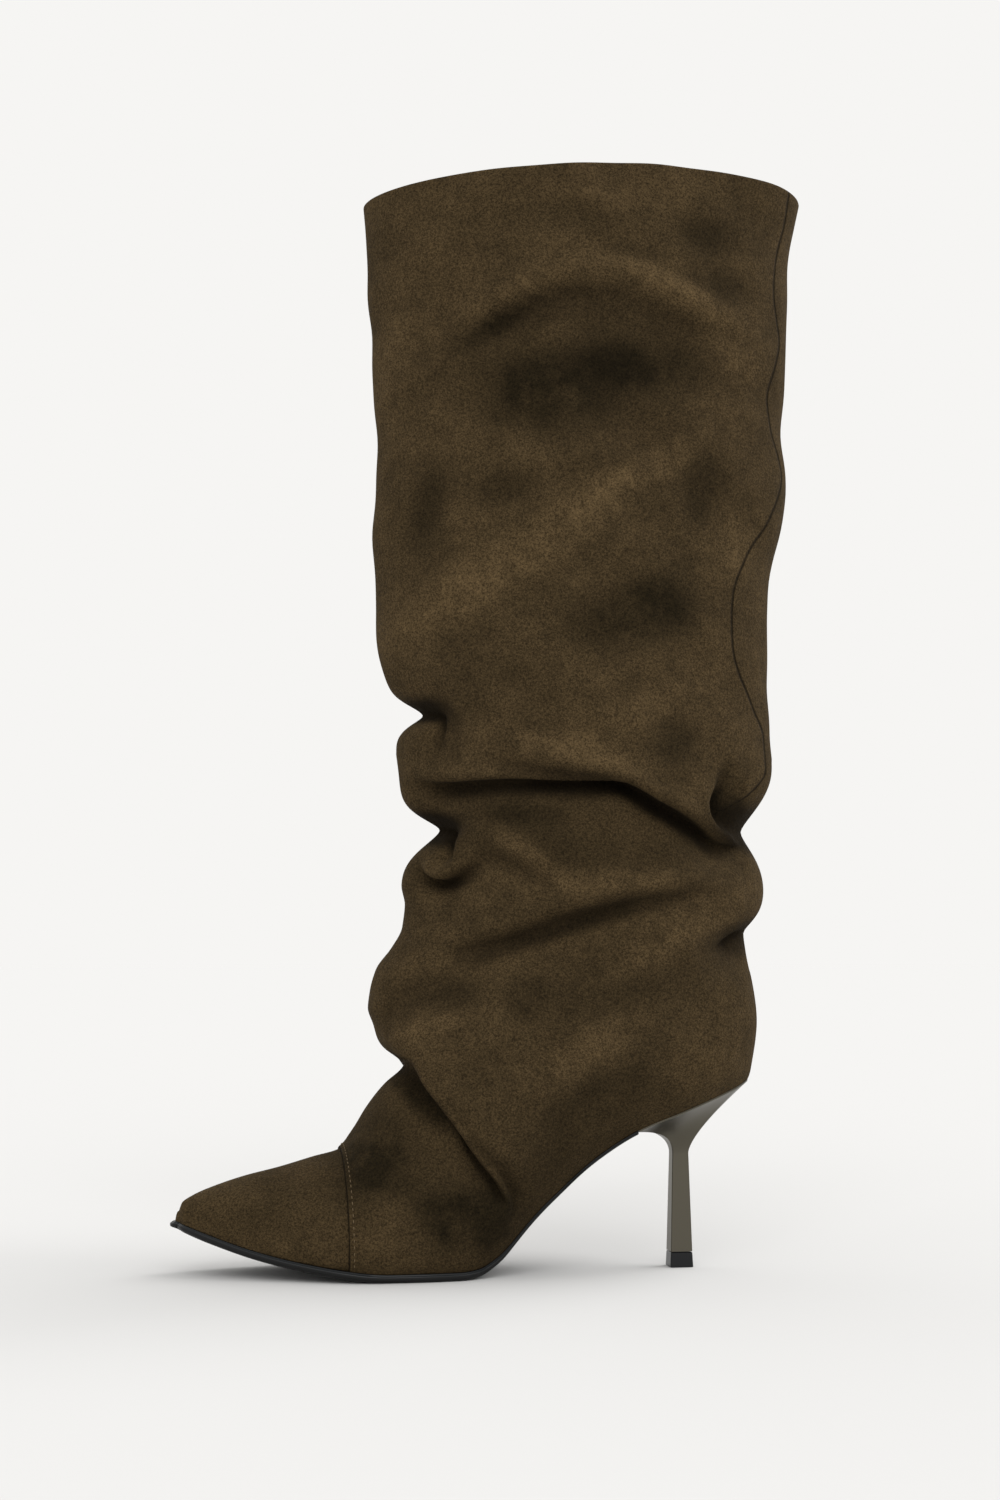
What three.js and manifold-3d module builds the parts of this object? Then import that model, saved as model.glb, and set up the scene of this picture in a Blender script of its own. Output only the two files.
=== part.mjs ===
// A tall slouched boot for the left foot, with a pointed toe and a slim square heel.
// Millimetres. The toe points to -X, the outer side of the foot to -Y and the leg up +Z.
// The origin is the middle of the heel tip's ground face.
import * as THREE from "three";
import Module from "manifold-3d";

const wasm = await Module();
wasm.setup();

// Foot and last
const footLength = 248; // toe tip to the back of the heel, along the floor
const heelSetIn = 34; // middle of the heel tip to the back of the heel
const heelHeight = 80; // floor to the boot's underside at the back of the heel
const toeSpring = 18; // floor to the sole under the toe tip
const vampHeight = 84; // sole to the crease where the leg folds over the vamp
const ballWidth = 80;
const ankleWidth = 81;

// Leg
const legHeight = 390; // underside at the back of the heel to the collar's back
const shaftDepth = 196; // front to back at the collar
const shaftWidth = 102; // side to side at the collar
const legSetIn = 74; // back of the heel to the middle of the leg
const collarArch = 3.5; // the collar is higher at its sides than at its front and back
const foldDepth = 10; // what a share of 1 moves the leather at the bottom of a fold
const foldReach = 10; // how far a share of 1 spreads a fold on each side of its line

// Layers
const wall = 1.8;
const toeStep = 0.9; // the leg's panel lies this much proud of the toe piece
const soleThickness = 3.4;
const soleLip = 1.1; // how far the sole's edge stands out past the upper
const soleGroove = 0.5;
const soleBevel = 1.4;
const insoleThickness = 2.2;
const insoleGap = 0.5;
const gap = 0.3; // between pieces that touch on the real boot

// Heel
const breastSetIn = 56.5; // heel's front edge to the back of the heel
const neckHeight = 48; // floor to the narrowest part of the heel
const neckSize = 7.1;
const heelFootSize = 9.4;
const heelCorner = 0.5;
const seatRim = 0.6; // thickness of the heel's thin front and back rim
const liftHeight = 6.4;
const liftFlare = 0.3;

// How finely the surfaces are divided
const around = 40;
const heelSideSteps = 6;
const flareSteps = 7;
const columnSteps = 3;
const ringReach = 0.2; // rings on each side that a normal is taken over
const halvings = 30; // of the search for the last ring on the sole
const stationMargin = 1; // no section lies closer than this to a cut end
const ringMargin = 0.02;
const layerOverhang = 20; // how far a layer over the sole reaches past the toe and the heel

const keelDrop = 7; // the last's underside passes this far below the upper's lower edge
const collarOverrun = 6; // how far the inner form rises past the collar, to open it

const heelBack = heelSetIn;
const legAxis = heelBack - legSetIn;
const breast = heelBack - breastSetIn;
const onFoot = (share) => heelBack - footLength * share;
const onLeg = (share) => legAxis + shaftDepth * share;
const upLeg = (share) => heelHeight + legHeight * share;

// A smooth curve through keyed values that never swings past them.
function curveThrough(points) {
  const slopes = points.slice(1).map(([at, value], i) => (value - points[i][1]) / (at - points[i][0]));
  const tangents = points.map((point, i) => {
    if (i === 0) return slopes[0];
    if (i === slopes.length) return slopes[i - 1];
    const [before, after] = [slopes[i - 1], slopes[i]];
    if (before * after <= 0) return 0;
    const stepBefore = point[0] - points[i - 1][0];
    const stepAfter = points[i + 1][0] - point[0];
    const weighted = (2 * stepAfter + stepBefore) / before + (stepAfter + 2 * stepBefore) / after;
    return (3 * (stepBefore + stepAfter)) / weighted;
  });
  return (at) => {
    const last = points.length - 1;
    if (at <= points[0][0]) return points[0][1] + tangents[0] * (at - points[0][0]);
    if (at >= points[last][0]) return points[last][1] + tangents[last] * (at - points[last][0]);
    const i = points.findIndex((point) => point[0] > at) - 1;
    const step = points[i + 1][0] - points[i][0];
    const t = (at - points[i][0]) / step;
    const between = points[i][1] * (1 + 2 * t) * (1 - t) ** 2 + points[i + 1][1] * t * t * (3 - 2 * t);
    return between + step * t * (1 - t) * (tangents[i] * (1 - t) - tangents[i + 1] * t);
  };
}

const column = (rows, index) => curveThrough(rows.map((row) => [row[0], row[index]]));

// The boot's underside from the heel to the toe. Columns: share of the foot's length from the heel,
// of the heel's height, of the toe spring, and of the sole's thickness that lies on it.
const undersideRows = [
  [0, 1, 0, 0.45],
  [0.075, 0.908, 0, 0.45],
  [0.15, 0.818, 0, 0.45],
  [0.228, 0.722, 0, 0.45],
  [0.297, 0.587, 0, 0.48],
  [0.349, 0.455, 0, 0.52],
  [0.394, 0.326, 0, 0.6],
  [0.438, 0.182, 0, 0.7],
  [0.472, 0.072, 0, 0.85],
  [0.504, 0.012, 0, 0.95],
  [0.532, 0, 0, 1],
  [0.653, 0, 0, 1],
  [0.686, 0, 0.02, 1],
  [0.73, 0, 0.09, 1],
  [0.802, 0, 0.25, 1],
  [0.875, 0, 0.48, 1],
  [0.944, 0, 0.78, 1],
  [1, 0, 1.07, 0.9],
].map(([along, heel, toe, sole]) => [along, heelHeight * heel + toeSpring * toe, soleThickness * sole]);
const undersideAt = column(undersideRows, 1);
const soleDepthAt = column(undersideRows, 2);
const shareAlong = (x) => (heelBack - x) / footLength;
const underside = (x) => undersideAt(shareAlong(x));
// The upper's lower edge, called the feather line, lies on the sole.
const feather = (x) => underside(x) + soleDepthAt(shareAlong(x));

// Rings of the last are numbered from the toe tip to the collar. Each joins a point of the ridge,
// the middle line down the front, to a point of the keel, the middle line below and behind.
// Columns: ring, share of the foot's length from the heel, share of the vamp's height over the sole.
const vampRidgeRows = [
  [0, 1, 0.052],
  [1, 0.9945, 0.1],
  [2, 0.972, 0.168],
  [3, 0.931, 0.259],
  [4, 0.885, 0.345],
  [5, 0.831, 0.424],
  [6, 0.774, 0.506],
  [7, 0.728, 0.566],
  [8, 0.705, 0.66],
  [9, 0.683, 0.776],
  [10, 0.656, 0.9],
  [11, 0.629, 1.015],
];
// Columns: ring, share of the shaft's depth from the leg's middle, share of the leg's height.
const shinRidgeRows = [
  [12, -0.446, 0.035],
  [13, -0.47, 0.06],
  [14, -0.484, 0.08],
  [15, -0.481, 0.097],
  [16, -0.467, 0.12],
  [17, -0.433, 0.144],
  [18, -0.408, 0.167],
  [19, -0.402, 0.19],
  [20, -0.413, 0.213],
  [21, -0.416, 0.238],
  [22, -0.417, 0.267],
  [23, -0.418, 0.295],
  [24, -0.42, 0.323],
  [25, -0.421, 0.351],
  [26, -0.423, 0.379],
  [27, -0.43, 0.405],
  [28, -0.449, 0.436],
  [29, -0.464, 0.472],
  [30, -0.472, 0.513],
  [31, -0.475, 0.564],
  [32, -0.473, 0.628],
  [33, -0.472, 0.692],
  [34, -0.475, 0.756],
  [35, -0.483, 0.82],
  [36, -0.493, 0.885],
  [37, -0.498, 0.936],
  [38, -0.5, 0.972],
];
// Columns: ring, share of the foot's length from the heel.
const soleKeelRows = [
  [0, 0.9985],
  [1, 0.993],
  [2, 0.969],
  [3, 0.93],
  [4, 0.885],
  [5, 0.832],
  [6, 0.776],
  [7, 0.722],
  [8, 0.665],
  [9, 0.6],
  [10, 0.532],
  [11, 0.462],
  [12, 0.407],
  [13, 0.359],
  [14, 0.306],
  [15, 0.246],
  [16, 0.182],
  [17, 0.118],
  [18, 0.065],
];
// Columns: ring, share of the foot's length from the heel, share of the leg's height.
const heelCupRows = [
  [19, 0.026, -0.012],
  [20, 0.008, 0.009],
  [21, 0.001, 0.04],
  [22, 0, 0.078],
];
// Columns: ring, share of the shaft's depth from the leg's middle, share of the leg's height.
const calfKeelRows = [
  [23, 0.38, 0.12],
  [24, 0.396, 0.162],
  [25, 0.404, 0.205],
  [26, 0.411, 0.249],
  [27, 0.414, 0.292],
  [28, 0.42, 0.337],
  [29, 0.417, 0.386],
  [30, 0.409, 0.441],
  [31, 0.412, 0.508],
  [32, 0.43, 0.584],
  [33, 0.459, 0.663],
  [34, 0.451, 0.736],
  [35, 0.461, 0.813],
  [36, 0.467, 0.889],
  [37, 0.474, 0.94],
  [38, 0.497, 0.992],
];
// Columns: ring, share of the ball's half width on the outer side, the same on the inner side,
// and the share of it by which the ring's middle lies towards the inner side.
const footGirthRows = [
  [0, 0.1, 0.1, 0.13],
  [1, 0.2, 0.19, 0.13],
  [2, 0.33, 0.31, 0.125],
  [3, 0.46, 0.44, 0.115],
  [4, 0.6, 0.57, 0.1],
  [5, 0.74, 0.7, 0.08],
  [6, 0.87, 0.82, 0.06],
  [7, 0.97, 0.92, 0.04],
  [8, 1.01, 0.98, 0.02],
  [9, 1.01, 0.98, 0],
  [10, 0.985, 0.94, -0.02],
  [11, 0.965, 0.91, -0.04],
];
// Columns: ring, share of the ankle's half width on both sides, the same share as above for the middle.
const ankleGirthRows = [
  [13, 0.975, -0.045],
  [16, 1, -0.025],
  [20, 1, 0],
];
// Columns: ring, share of the shaft's half width.
const legGirthRows = [
  [23, 0.84],
  [26, 0.89],
  [30, 0.91],
  [34, 0.95],
  [38, 1],
];
// Columns: ring, share of the way from keel to ridge where the ring is widest,
// and how square its front and its back are, where 2 is an ellipse.
const shapeRows = [
  [0, 0.45, 2.2, 2.6],
  [2, 0.42, 2.1, 2.8],
  [5, 0.34, 2, 3],
  [9, 0.33, 1.85, 3],
  [11, 0.42, 1.9, 2.8],
  [13, 0.5, 2, 2.4],
  [15, 0.5, 2, 2.3],
  [17, 0.5, 2, 2.3],
  [20, 0.46, 1.95, 2.05],
  [24, 0.45, 1.9, 2],
  [30, 0.47, 1.9, 2],
  [38, 0.5, 1.9, 2.1],
];
// Columns: first ring, last ring, step. The rings are close where the leg is slouched.
const ringRows = [
  [8, 10, 1],
  [10.5, 28.5, 0.5],
  [29, 38, 1],
];
// The same for the sections of the sole, which are closest over the bend behind the ball.
const soleRingRows = [
  [0, 9.5, 0.5],
  [9.75, 13, 0.25],
];
const archRingStep = 0.5;
const archFromRing = 13.5;
const toeSeamRing = 7;
const seamHalfStep = 0.04;
const foldsFromRing = 8; // the folds move the leather level from here up
const foldsLevelRing = 14;
const collarRing = 38;
const collarArchRings = 4; // rings below the collar over which its arch rises
const toeCavityRing = 2; // the toe tip is solid in front of this ring

const ridgePoints = [
  ...vampRidgeRows.map(([ring, along, over]) => [ring, onFoot(along), feather(onFoot(along)) + vampHeight * over]),
  ...shinRidgeRows.map(([ring, reach, up]) => [ring, onLeg(reach), upLeg(up)]),
];
const keelPoints = [
  ...soleKeelRows.map(([ring, along]) => [ring, onFoot(along), feather(onFoot(along)) - keelDrop]),
  ...heelCupRows.map(([ring, along, up]) => [ring, onFoot(along), upLeg(up)]),
  ...calfKeelRows.map(([ring, reach, up]) => [ring, onLeg(reach), upLeg(up)]),
];
const sharesOf = (length) => (value, index) => (index === 0 ? value : length * value);
const girthPoints = [
  ...footGirthRows.map(([ring, outer, inner, sway]) => [ring, outer, inner, sway].map(sharesOf(ballWidth / 2))),
  ...ankleGirthRows.map(([ring, both, sway]) => [ring, both, both, sway].map(sharesOf(ankleWidth / 2))),
  ...legGirthRows.map(([ring, both]) => [ring, both, both, 0].map(sharesOf(shaftWidth / 2))),
];
const [ridgeX, ridgeZ] = [column(ridgePoints, 1), column(ridgePoints, 2)];
const [keelX, keelZ] = [column(keelPoints, 1), column(keelPoints, 2)];
const [outerGirth, innerGirth, swayAt] = [1, 2, 3].map((index) => column(girthPoints, index));
const [bellyAt, frontShape, backShape] = [1, 2, 3].map((index) => column(shapeRows, index));

// Folds of the slouched leg. Each follows a line over the side view from the front to the back.
// line: share of the shaft's depth from the leg's middle, share of the leg's height, share of foldDepth.
// above, below: shares of foldReach on each side of the line; roll: share of the depth that the
// leather rises above the line; side: the side of the foot that the fold is on.
const folds = [
  {
    name: "upper front pinch",
    side: "both",
    line: [
      [-0.5, 0.4, 1.3],
      [-0.41, 0.399, 1.25],
      [-0.356, 0.396, 0.8],
      [-0.338, 0.38, 0.35],
      [-0.335, 0.35, 0],
    ],
    above: 0.95,
    below: 0.7,
    roll: 0,
  },
  {
    name: "lower front pinch",
    side: "both",
    line: [
      [-0.5, 0.273, 1.8],
      [-0.4, 0.273, 1.7],
      [-0.33, 0.268, 0.9],
      [-0.3, 0.262, 0.2],
      [-0.27, 0.256, 0],
    ],
    above: 0.8,
    below: 1.2,
    roll: 0,
  },
  {
    name: "front pocket",
    side: "outer",
    line: [
      [-0.4, 0.229, 0.2],
      [-0.377, 0.219, 0.6],
      [-0.346, 0.2155, 0.7],
      [-0.316, 0.22, 0.6],
      [-0.24, 0.24, 0],
    ],
    above: 0.7,
    below: 0.8,
    roll: 0.2,
  },
  {
    name: "main fold",
    side: "outer",
    line: [
      [-0.42, 0.3206, 0],
      [-0.35, 0.3206, 0.5],
      [-0.204, 0.323, 0.9],
      [-0.05, 0.323, 1],
      [0.087, 0.297, 1.1],
      [0.182, 0.268, 1.1],
      [0.235, 0.253, 0.8],
      [0.33, 0.2576, 0],
    ],
    above: 0.75,
    below: 1.5,
    roll: 0.25,
  },
  {
    name: "fold above the main fold",
    side: "outer",
    line: [
      [-0.3, 0.36, 0],
      [-0.2, 0.347, 0.25],
      [-0.1, 0.34, 0.3],
      [0, 0.336, 0.25],
      [0.09, 0.32, 0],
    ],
    above: 0.6,
    below: 0.7,
    roll: 0.2,
  },
  {
    name: "upper back pinch",
    side: "both",
    line: [
      [0.264, 0.322, 0],
      [0.285, 0.3, 0.6],
      [0.32, 0.283, 1.1],
      [0.37, 0.273, 1.25],
      [0.45, 0.272, 1.25],
    ],
    above: 1.3,
    below: 1.6,
    roll: 0,
  },
  {
    name: "lower back pinch",
    side: "both",
    line: [
      [0.2, 0.128, 0],
      [0.26, 0.142, 0.35],
      [0.32, 0.154, 0.75],
      [0.37, 0.161, 0.8],
      [0.45, 0.161, 0.8],
    ],
    above: 0.75,
    below: 1.7,
    roll: 0,
  },
  {
    name: "ankle fold",
    side: "outer",
    line: [
      [-0.36, 0.128, 0],
      [-0.283, 0.139, 0.3],
      [-0.177, 0.155, 0.45],
      [-0.048, 0.179, 0.45],
      [0.086, 0.192, 0.4],
      [0.214, 0.2, 0.3],
      [0.33, 0.211, 0],
    ],
    above: 0.8,
    below: 1.6,
    roll: 0.25,
  },
  {
    name: "vamp crease",
    side: "both",
    line: [
      [-0.5, 0.026, 0.4],
      [-0.415, 0.023, 0.45],
      [-0.382, -0.001, 0.5],
      [-0.329, -0.036, 0.5],
      [-0.265, -0.08, 0.45],
      [-0.217, -0.11, 0.3],
      [-0.2, -0.13, 0],
    ],
    above: 0.45,
    below: 0.8,
    roll: 0.4,
  },
  {
    name: "inner main fold",
    side: "inner",
    line: [
      [-0.38, 0.27, 0],
      [-0.22, 0.295, 0.9],
      [-0.05, 0.318, 1],
      [0.12, 0.305, 1],
      [0.25, 0.284, 0.8],
      [0.36, 0.272, 0],
    ],
    above: 0.8,
    below: 1.5,
    roll: 0.25,
  },
  {
    name: "inner upper fold",
    side: "inner",
    line: [
      [-0.4, 0.398, 0.2],
      [-0.22, 0.388, 0.5],
      [-0.05, 0.37, 0.4],
      [0.1, 0.36, 0],
    ],
    above: 0.8,
    below: 1.1,
    roll: 0.25,
  },
  {
    name: "inner ankle fold",
    side: "inner",
    line: [
      [-0.4, 0.2, 0],
      [-0.25, 0.175, 0.4],
      [-0.05, 0.165, 0.55],
      [0.15, 0.158, 0.5],
      [0.33, 0.16, 0],
    ],
    above: 0.8,
    below: 1.5,
    roll: 0.25,
  },
].map((fold) => ({
  ...fold,
  line: fold.line.map(([reach, up, depth]) => [onLeg(reach), upLeg(up), foldDepth * depth]),
}));

// A fold's profile: how steep its valley is, and where and how wide the roll above it lies,
// as shares of the fold's reach above its line and of the roll's own place.
const valleyPower = 1.5;
const rollPlace = 2.4;
const rollWidth = 0.6;
// Shares of the half width between which a fold of one side fades in from the ridge or keel.
const [fadeStart, fadeEnd] = [0.1, 0.6];

// How far one fold moves the leather at a place on the side view: below zero is inward.
function foldShift(fold, x, z) {
  let [distance, signed, depth] = [Infinity, 0, 0];
  for (let i = 1; i < fold.line.length; i += 1) {
    const [[x0, z0, depth0], [x1, z1, depth1]] = [fold.line[i - 1], fold.line[i]];
    const [dx, dz] = [x1 - x0, z1 - z0];
    const t = THREE.MathUtils.clamp(((x - x0) * dx + (z - z0) * dz) / (dx * dx + dz * dz), 0, 1);
    const [offX, offZ] = [x - x0 - t * dx, z - z0 - t * dz];
    if (Math.hypot(offX, offZ) < distance) {
      distance = Math.hypot(offX, offZ);
      signed = distance * Math.sign(dx * offZ - dz * offX);
      depth = THREE.MathUtils.lerp(depth0, depth1, t);
    }
  }
  const spread = foldReach * (signed > 0 ? fold.above : fold.below);
  const valley = Math.exp(-((distance / spread) ** valleyPower));
  const rollMiddle = rollPlace * foldReach * fold.above;
  const roll = Math.exp(-(((signed - rollMiddle) / (rollWidth * rollMiddle)) ** 2));
  return depth * (fold.roll * roll - valley);
}

// All folds together. A fold of one side fades out towards the ridge and the keel.
function foldsAt(x, z, outShare) {
  const away = THREE.MathUtils.smoothstep(Math.abs(outShare), fadeStart, fadeEnd);
  return folds.reduce((sum, fold) => {
    if (fold.side === "outer" && outShare > 0) return sum;
    if (fold.side === "inner" && outShare < 0) return sum;
    return sum + foldShift(fold, x, z) * (fold.side === "both" ? 1 : away);
  }, 0);
}

// A ring of the last without folds: a rounded loop in the plane through its ridge and keel points.
function plainRing(ring) {
  const keel = new THREE.Vector3(keelX(ring), swayAt(ring), keelZ(ring));
  const rise = new THREE.Vector3(ridgeX(ring) - keel.x, 0, ridgeZ(ring) - keel.z);
  const belly = bellyAt(ring);
  const archShare = THREE.MathUtils.smoothstep(ring, collarRing - collarArchRings, collarRing);
  return Array.from({ length: around }, (unused, k) => {
    const angle = (2 * Math.PI * k) / around;
    const [up, out] = [Math.cos(angle), Math.sin(angle)];
    const power = 2 / (up > 0 ? frontShape(ring) : backShape(ring));
    const share = up > 0 ? belly + (1 - belly) * up ** power : belly * (1 - (-up) ** power);
    const girth = out < 0 ? outerGirth(ring) : innerGirth(ring);
    const point = keel.clone().addScaledVector(rise, share);
    point.y += Math.sign(out) * girth * Math.abs(out) ** power;
    point.z += collarArch * archShare * out * out;
    return point;
  });
}

// Outward normals of a loop, from its own points and the loops before and after it.
function loopNormals(loop, before, after) {
  return loop.map((point, k) => {
    const across = new THREE.Vector3().subVectors(loop[(k + 1) % around], loop[(k + around - 1) % around]);
    const along = new THREE.Vector3().subVectors(after[k], before[k]);
    return along.cross(across).normalize();
  });
}

// The same ring with its folds, and with the toe piece lying lower than the leg's panel.
function foldedRing(ring) {
  const plain = plainRing(ring);
  const before = plainRing(Math.max(ring - ringReach, 0));
  const after = plainRing(Math.min(ring + ringReach, collarRing));
  const level = THREE.MathUtils.smoothstep(ring, foldsFromRing, foldsLevelRing);
  const step = ring < toeSeamRing ? toeStep : 0;
  return loopNormals(plain, before, after).map((normal, k) => {
    const point = plain[k];
    const shift = foldsAt(point.x, point.z, (point.y - swayAt(ring)) / outerGirth(ring)) - step;
    normal.z *= 1 - level;
    return point.clone().addScaledVector(normal.normalize(), shift);
  });
}

// The loops moved in by a distance, along the folded surface's own normals.
function insetLoops(loops, distance) {
  return loops.map((loop, i) => {
    const before = loops[Math.max(i - 1, 0)];
    const after = loops[Math.min(i + 1, loops.length - 1)];
    const normals = loopNormals(loop, before, after);
    return loop.map((point, k) => point.clone().addScaledVector(normals[k], -distance));
  });
}

function middleOf(points) {
  return points.reduce((sum, point) => sum.add(point), new THREE.Vector3()).divideScalar(points.length);
}

// Joins loops with the same number of points into one closed mesh, with a fan at each end.
function loft(loops) {
  const count = loops[0].length;
  const points = [...loops.flat(), middleOf(loops[0]), middleOf(loops[loops.length - 1])];
  const [firstMiddle, lastMiddle] = [points.length - 2, points.length - 1];
  const lastLoop = (loops.length - 1) * count;
  const triangles = [];
  for (let k = 0; k < count; k += 1) {
    const next = (k + 1) % count;
    for (let at = 0; at < lastLoop; at += count) {
      triangles.push([at + k, at + next, at + count + next], [at + k, at + count + next, at + count + k]);
    }
    triangles.push([firstMiddle, next, k], [lastMiddle, lastLoop + k, lastLoop + next]);
  }
  const volume = triangles.reduce((sum, [a, b, c]) => {
    return sum + points[a].dot(new THREE.Vector3().crossVectors(points[b], points[c]));
  }, 0);
  const outward = volume < 0 ? triangles.map(([a, b, c]) => [a, c, b]) : triangles;
  return new THREE.BufferGeometry().setFromPoints(points).setIndex(outward.flat());
}

function solidOf(geometry) {
  const vertProperties = new Float32Array(geometry.getAttribute("position").array);
  const triVerts = new Uint32Array(geometry.index.array);
  return new wasm.Manifold(new wasm.Mesh({ numProp: 3, vertProperties, triVerts }));
}

function geometryOf(solid) {
  const mesh = solid.getMesh();
  const geometry = new THREE.BufferGeometry();
  geometry.setAttribute("position", new THREE.BufferAttribute(new Float32Array(mesh.vertProperties), 3));
  return geometry.setIndex(Array.from(mesh.triVerts));
}

function numbersFrom(start, end, step) {
  const count = Math.round((end - start) / step);
  return Array.from({ length: count + 1 }, (unused, i) => start + ((end - start) * i) / count);
}

// Rings are close together where the leg is slouched and wider apart on the toe and up the shaft.
const ringMarks = [
  ...numbersFrom(0, toeSeamRing - 1, 1),
  toeSeamRing - seamHalfStep,
  toeSeamRing + seamHalfStep,
  ...ringRows.flatMap(([from, to, step]) => numbersFrom(from, to, step)),
];

// A layer that lies over the sole, from one height above the feather line to another.
function layerOverSole(bottom, top) {
  const stations = featherPairs.map(([outer]) => outer.x);
  const places = [onFoot(1) - layerOverhang, ...stations, heelBack + layerOverhang];
  return loft(
    places.map((x) => {
      const height = feather(THREE.MathUtils.clamp(x, onFoot(1), heelBack));
      return [
        new THREE.Vector3(x, -ballWidth, height + bottom),
        new THREE.Vector3(x, -ballWidth, height + top),
        new THREE.Vector3(x, ballWidth, height + top),
        new THREE.Vector3(x, ballWidth, height + bottom),
      ];
    }),
  );
}

function makeUpper() {
  const outer = ringMarks.map(foldedRing);
  const firstInner = ringMarks.indexOf(toeCavityRing);
  const inner = insetLoops(outer, wall).slice(firstInner);
  inner.push(inner[inner.length - 1].map((point) => point.clone().setZ(point.z + collarOverrun)));
  const shell = solidOf(loft(outer)).subtract(solidOf(loft(inner)));
  return geometryOf(shell.subtract(solidOf(layerOverSole(-2 * keelDrop, gap))));
}

// Where the folded ring meets the feather line on one side: -1 is the outer side and 1 the inner side.
function featherPoint(ring, side) {
  const loop = foldedRing(ring);
  const onSide = numbersFrom(0, around / 2, 1).map((step) => {
    return loop[(around + side * (around / 2 - step)) % around];
  });
  const over = (point) => point.z - feather(point.x);
  const i = Math.max(onSide.findIndex((point) => over(point) > 0), 1);
  const t = over(onSide[i - 1]) / (over(onSide[i - 1]) - over(onSide[i]));
  const point = onSide[i - 1].clone().lerp(onSide[i], t);
  return new THREE.Vector2(point.x, point.y);
}

// The ring whose keel point lies on the feather line is the last one that the sole meets.
function lastSoleRing() {
  let [below, above] = [soleKeelRows[soleKeelRows.length - 1][0], heelCupRows[heelCupRows.length - 1][0]];
  for (let i = 0; i < halvings; i += 1) {
    const middle = (below + above) / 2;
    if (keelZ(middle) < feather(keelX(middle))) below = middle;
    else above = middle;
  }
  return below;
}

// Both edges of the feather line, paired ring by ring from the toe to the back of the heel.
const featherRings = [
  ...soleRingRows.flatMap(([from, to, step]) => numbersFrom(from, to, step)),
  ...numbersFrom(archFromRing, lastSoleRing() - ringMargin, archRingStep),
];
const featherPairs = featherRings.map((ring) => [featherPoint(ring, -1), featherPoint(ring, 1)]);

// The pairs moved out from the feather line by a distance, or in where it is below zero.
function widened(distance) {
  const outline = [...featherPairs.map(([outer]) => outer), ...featherPairs.map(([, inner]) => inner).reverse()];
  const count = outline.length;
  const moved = outline.map((point, i) => {
    const along = outline[(i + 1) % count].clone().sub(outline[(i + count - 1) % count]).normalize();
    return new THREE.Vector2(point.x + along.y * distance, point.y - along.x * distance);
  });
  return featherPairs.map((pair, i) => [moved[i], moved[count - 1 - i]]);
}

// The pair at one place along the foot, worked out between its neighbours.
function pairAt(pairs, x) {
  return [0, 1].map((side) => {
    const after = pairs.findIndex((pair) => pair[side].x > x);
    const [a, b] = [pairs[after - 1][side], pairs[after][side]];
    return a.clone().lerp(b, (x - a.x) / (b.x - a.x));
  });
}

function pairsUpTo(distance, end) {
  const pairs = widened(distance);
  const kept = pairs.filter(([outer, inner]) => Math.max(outer.x, inner.x) < end - stationMargin);
  return [...kept, pairAt(pairs, end)];
}

const at = (point, height) => new THREE.Vector3(point.x, point.y, height(point.x));

// The outsole's edge has a shallow groove under its top and a bevel along its ground side.
function makeOutsole() {
  const end = breast - gap;
  // Columns: share of the sole's thickness from its top, distance out from the upper.
  // From the top: the groove, the full lip, then the bevel down to the ground side.
  const edge = [
    [0, soleLip - soleGroove],
    [0.16, soleLip - soleGroove],
    [0.28, soleLip],
    [0.6, soleLip],
    [1, soleLip - soleBevel],
  ].map(([down, out]) => {
    const height = (x) => THREE.MathUtils.lerp(feather(x), underside(x), down);
    return { pairs: pairsUpTo(out, end), height };
  });
  const sections = edge[0].pairs.map((unused, i) => {
    const outer = edge.map(({ pairs, height }) => at(pairs[i][0], height));
    const inner = edge.map(({ pairs, height }) => at(pairs[i][1], height));
    return [...outer, ...inner.reverse()];
  });
  return loft(sections);
}

function makeInsole() {
  const inner = insetLoops(ringMarks.map(foldedRing), wall + insoleGap).slice(ringMarks.indexOf(toeCavityRing) + 1);
  return geometryOf(solidOf(loft(inner)).intersect(solidOf(layerOverSole(gap, gap + insoleThickness))));
}

// A square loop with cut corners, from the front outer corner round the outer side, back and inner side.
function squareLoop(size, corner, height) {
  const half = size / 2;
  const sides = [
    [-1, -1, 1, -1],
    [1, -1, 1, 1],
    [1, 1, -1, 1],
    [-1, 1, -1, -1],
  ];
  return sides.flatMap(([x0, y0, x1, y1]) => {
    return numbersFrom(corner / size, 1 - corner / size, (1 - (2 * corner) / size) / heelSideSteps).map((t) => {
      return new THREE.Vector3(half * (x0 + (x1 - x0) * t), half * (y0 + (y1 - y0) * t), height);
    });
  });
}

// The heel seat's outer side, back and inner side. Columns: start and end as shares of its rim.
const seatSideRows = [
  [0, 0.36],
  [0.38, 0.62],
  [0.64, 1],
];

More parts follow.
